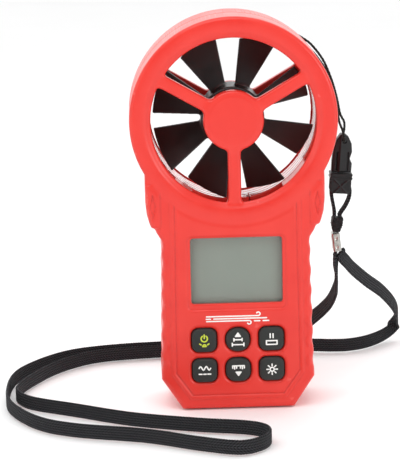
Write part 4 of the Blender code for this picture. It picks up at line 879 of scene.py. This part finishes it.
def key_top(share):
    """Depth of a key's domed top at a share of the way from its middle to its edge."""
    return KEY_TOP_Y + KEY_DOME * share ** 2


def key_dome(x, z):
    return key_top(np.clip(np.maximum(np.abs(x) / KEY_HALF_WIDTH, np.abs(z) / KEY_HALF_HEIGHT), 0, 1))


def key_cap(name):
    """Lofted cap: straight sides, a round shoulder and a domed top."""
    place_x, place_z = key_places()[name]
    half_width, share = key_form(name)
    corner = share * KEY_HALF_HEIGHT
    outline = []
    for quarter, (side, level) in enumerate(((1, 1), (-1, 1), (-1, -1), (1, -1))):
        for angle in np.radians(np.linspace(90 * quarter, 90 * quarter + 90, 13)):
            outline.append((side * (half_width - corner) + corner * math.cos(angle),
                            level * (KEY_HALF_HEIGHT - corner) + corner * math.sin(angle)))
    outline = np.array(outline)
    half = np.array((half_width, KEY_HALF_HEIGHT))
    rings = [(0, KEY_BACK_Y), (0, (KEY_BACK_Y + KEY_TOP_Y) / 2)]
    for angle in np.radians(np.linspace(0, 90, 7)):
        rings.append((KEY_EDGE * (1 - math.cos(angle)), key_top(0.85) + KEY_EDGE * (1 - math.sin(angle))))
    rings += [(inset, key_top(1 - inset / KEY_HALF_HEIGHT)) for inset in (1.4, 2.1, 2.9, 3.7, 4.4)]
    points = [(place_x + x, depth, place_z + z)
              for inset, depth in rings for x, z in outline * (1 - inset / half)]
    count = len(outline)
    faces = [(start + index, start + (index + 1) % count, start + count + (index + 1) % count,
              start + count + index)
             for start in range(0, len(points) - count, count) for index in range(count)]
    faces += [range(count)[::-1], range(len(points) - count, len(points))]
    piece = piece_of(name + "_cap", np.array(points) * MM, faces, FINISHES["key_rubber"], 60)
    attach(piece, name)
    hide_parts(name)


def line(x0, z0, x1, z1):
    return [(x0, z0), (x1, z1)]


def bow(x, z, radius, start, end):
    angles = np.radians(np.linspace(start, end, max(3, int(abs(end - start) / 15) + 1)))
    return [(x + radius * math.cos(angle), z + radius * math.sin(angle)) for angle in angles]


def wave(x0, x1, z, height, length):
    return [(x, z + height * math.sin(2 * math.pi * (x - x0) / length)) for x in np.linspace(x0, x1, 25)]


def printed(name, strokes, place, half_line, surface, finish, body):
    """Ink marks standing a little proud of the surface they are printed on."""
    place_x, place_z = place
    reach = max(max(abs(x), abs(z)) for stroke in strokes for x, z in stroke) + half_line + 0.3
    deep = max(max(abs(z) for stroke in strokes for x, z in stroke) + half_line + 0.3, 1.0)

    def shape(x, y, z):
        mark = np.full(np.broadcast(x, z).shape, 1e3, np.float32)
        for stroke in strokes:
            for (x0, z0), (x1, z1) in zip(stroke, stroke[1:]):
                run_x, run_z = x1 - x0, z1 - z0
                share = np.clip(((x - place_x - x0) * run_x + (z - place_z - z0) * run_z)
                                / (run_x ** 2 + run_z ** 2), 0, 1)
                mark = np.minimum(mark, np.hypot(x - place_x - x0 - share * run_x,
                                                 z - place_z - z0 - share * run_z))
        face = surface(x - place_x, z - place_z)
        return np.maximum(mark - half_line, np.abs(y - face) - INK_HALF_THICKNESS)

    front = float(surface(np.float32(0), np.float32(0)))
    piece = moulded(name, shape, (place_x - reach, front - 0.2, place_z - deep),
                    (place_x + reach, front + 0.42, place_z + deep), INK_STEP, finish)
    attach(piece, body)


def key_marks():
    """Plain signs: power and lamp, up and range, hold, average, down and scale, light."""
    triangle = [(-1.0, -0.5), (0, 0.9), (1.0, -0.5), (-1.0, -0.5), (0, 0.2), (1.0, -0.5)]
    rays = [line(1.5 * math.cos(a), 1.5 * math.sin(a), 2.2 * math.cos(a), 2.2 * math.sin(a))
            for a in np.linspace(0, 2 * math.pi, 8, endpoint=False)]
    return {
        "key_power": [bow(0, 1.0, 1.3, 125, 415), line(0, 1.1, 0, 2.6), bow(0, -2.3, 0.7, 0, 180),
                      line(-0.7, -2.3, 0.7, -2.3), line(-1.3, -1.6, -1.9, -1.2),
                      line(1.3, -1.6, 1.9, -1.2)],
        "key_up": [[(x, z + 2.1) for x, z in triangle], line(-1.7, 0.2, 1.7, 0.2),
                   line(-1.7, -0.3, -1.7, 0.7), line(1.7, -0.3, 1.7, 0.7), line(-2.4, -1.9, 2.4, -1.9),
                   line(-2.4, -2.5, -2.4, -1.3), line(2.4, -2.5, 2.4, -1.3)],
        "key_hold": [line(-0.6, 0.7, -0.6, 2.3), line(0.6, 0.7, 0.6, 2.3), line(-2.2, -0.6, 2.2, -0.6),
                     line(-2.2, -2.2, 2.2, -2.2), line(-2.2, -0.6, -2.2, -2.2), line(2.2, -0.6, 2.2, -2.2)],
        "key_average": [wave(-2.4, 2.4, 1.2, 0.75, 2.4), line(-2.4, -1.3, -1.2, -1.3),
                        line(-0.5, -1.3, 0.5, -1.3), line(1.2, -1.3, 2.4, -1.3)],
        "key_units": [line(-2.4, 1.9, 2.4, 1.9)] + [line(x, 1.9, x, 0.9 if x % 1.6 else 0.6)
                                                    for x in (-2.4, -1.6, -0.8, 0.8, 1.6, 2.4)]
                     + [[(x, -1.3 - z) for x, z in triangle]],
        "key_light": rays + [bow(0, 0, 0.85, 0, 360)],
    }


def wind_lines():
    """Wind sign above the keys: streaming lines that curl over at their ends."""
    strokes = []
    for start, end, level, curl in ((-12.8, 8.6, 1.0, 1), (-9.8, 12.0, 0.0, 0), (-12.8, 4.8, -1.0, -1)):
        if curl:
            strokes.append([(start, level)] + bow(end, level + curl * 0.75, 0.75, -90 * curl, 150 * curl))
        else:
            strokes.append(line(start, level, end, level))
    strokes += [line(-12.9, 0, -11.2, 0), line(7.0, -1.2, 9.2, -1.2), line(10.6, -1.2, 12.9, -1.2)]
    return strokes


def make_keys():
    for name in key_places():
        key_cap(name)
    for name, strokes in key_marks().items():
        ink = FINISHES["lime_ink" if name == "key_power" else "white_ink"]
        printed(name + "_sign", strokes, key_places()[name], KEY_SIGN_HALF_LINE, key_dome, ink, name)
    printed("wind_sign", wind_lines(), (0, WIND_SIGN_Z), WIND_SIGN_HALF_LINE,
            lambda x, z: WIND_SIGN_Y + 0 * (x + z), FINISHES["white_ink"], "case")


make_keys()


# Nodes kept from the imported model

NODE_FINISHES = {
    "grey_abs": ("rear_hub_plate", "lcd_holder"),
    "duct_abs": ("sensor_housing",),
    "black_epoxy": ("infrared_emitter", "infrared_receiver"),
    "solder_mask": ("sensor_board", "main_board"),
    "black_lead": ("sensor_lead", "battery_lead_black"),
    "red_lead": ("battery_lead_red",),
    "window": ("display_window",),
    "lcd_glass": ("lcd_panel",),
    "milky_acrylic": ("backlight",),
    "mat_rubber": ("zebra_strip", "keypad_mat"),
    "chip_epoxy": ("measuring_chip",),
    "zinc_steel": ("rotor_shaft", "board_screw_1", "board_screw_2", "case_screw_1", "case_screw_2",
                   "case_screw_3", "case_screw_4"),
    "bronze": ("front_bearing", "rear_bearing"),
    "battery_jacket": ("battery",),
    "buckle_acetal": ("battery_snap",),
}
for finish, nodes in NODE_FINISHES.items():
    for node in nodes:
        NODES[node].data.materials.clear()
        NODES[node].data.materials.append(FINISHES[finish])


# Studio

ROOM_GLOW, BACKDROP_GLOW = 0.4, 1.6
FLOOR_HALF, FLOOR_Z = 3, -0.0004


def set_studio():
    """Bright white backdrop, a dimmer room in front, a large overhead softbox and two front lights."""
    world = bpy.data.worlds.new("white_backdrop")
    world.use_nodes = True
    way = add(world.node_tree, "ShaderNodeSeparateXYZ",
              {"Vector": add(world.node_tree, "ShaderNodeTexCoord").outputs["Generated"]})
    glow = add(world.node_tree, "ShaderNodeMapRange",
               {"Value": way.outputs["Y"], "From Min": -0.5, "From Max": 0.6, "To Min": ROOM_GLOW,
                "To Max": BACKDROP_GLOW}, interpolation_type="SMOOTHSTEP")
    world.node_tree.nodes["Background"].inputs["Color"].default_value = (1, 1, 1, 1)
    world.node_tree.links.new(glow.outputs["Result"], world.node_tree.nodes["Background"].inputs["Strength"])
    bpy.context.scene.world = world
    bpy.context.scene.view_settings.view_transform = "Standard"
    # Matt white laminate of the table: nearly even, so that it runs into the backdrop.
    laminate = textured(finish_of("matt_white_table", "#FAFAFA", 0.8), 3, 0.01, ("#F9F9F9", "#FCFCFC"), 300)
    corners = [(x * FLOOR_HALF, y * FLOOR_HALF, FLOOR_Z) for x, y in ((-1, -1), (1, -1), (1, 1), (-1, 1))]
    floor = piece_of("floor", corners, [(0, 1, 2, 3)], laminate)
    for name, place, size, power in (("overhead_softbox", (-0.15, -0.45, 0.9), 0.7, 4.2),
                                     ("front_light_right", (0.75, -0.9, 0.35), 0.35, 3.1),
                                     ("front_light_left", (-0.85, -0.7, 0.3), 0.35, 1.3)):
        light = bpy.data.lights.new(name, "AREA")
        light.size = size
        light.energy = power
        lamp = bpy.data.objects.new(name, light)
        lamp.location = place
        lamp.rotation_euler = (Vector((0, 0, 0.1)) - Vector(place)).to_track_quat("-Z", "Y").to_euler()
        bpy.context.scene.collection.objects.link(lamp)


set_studio()
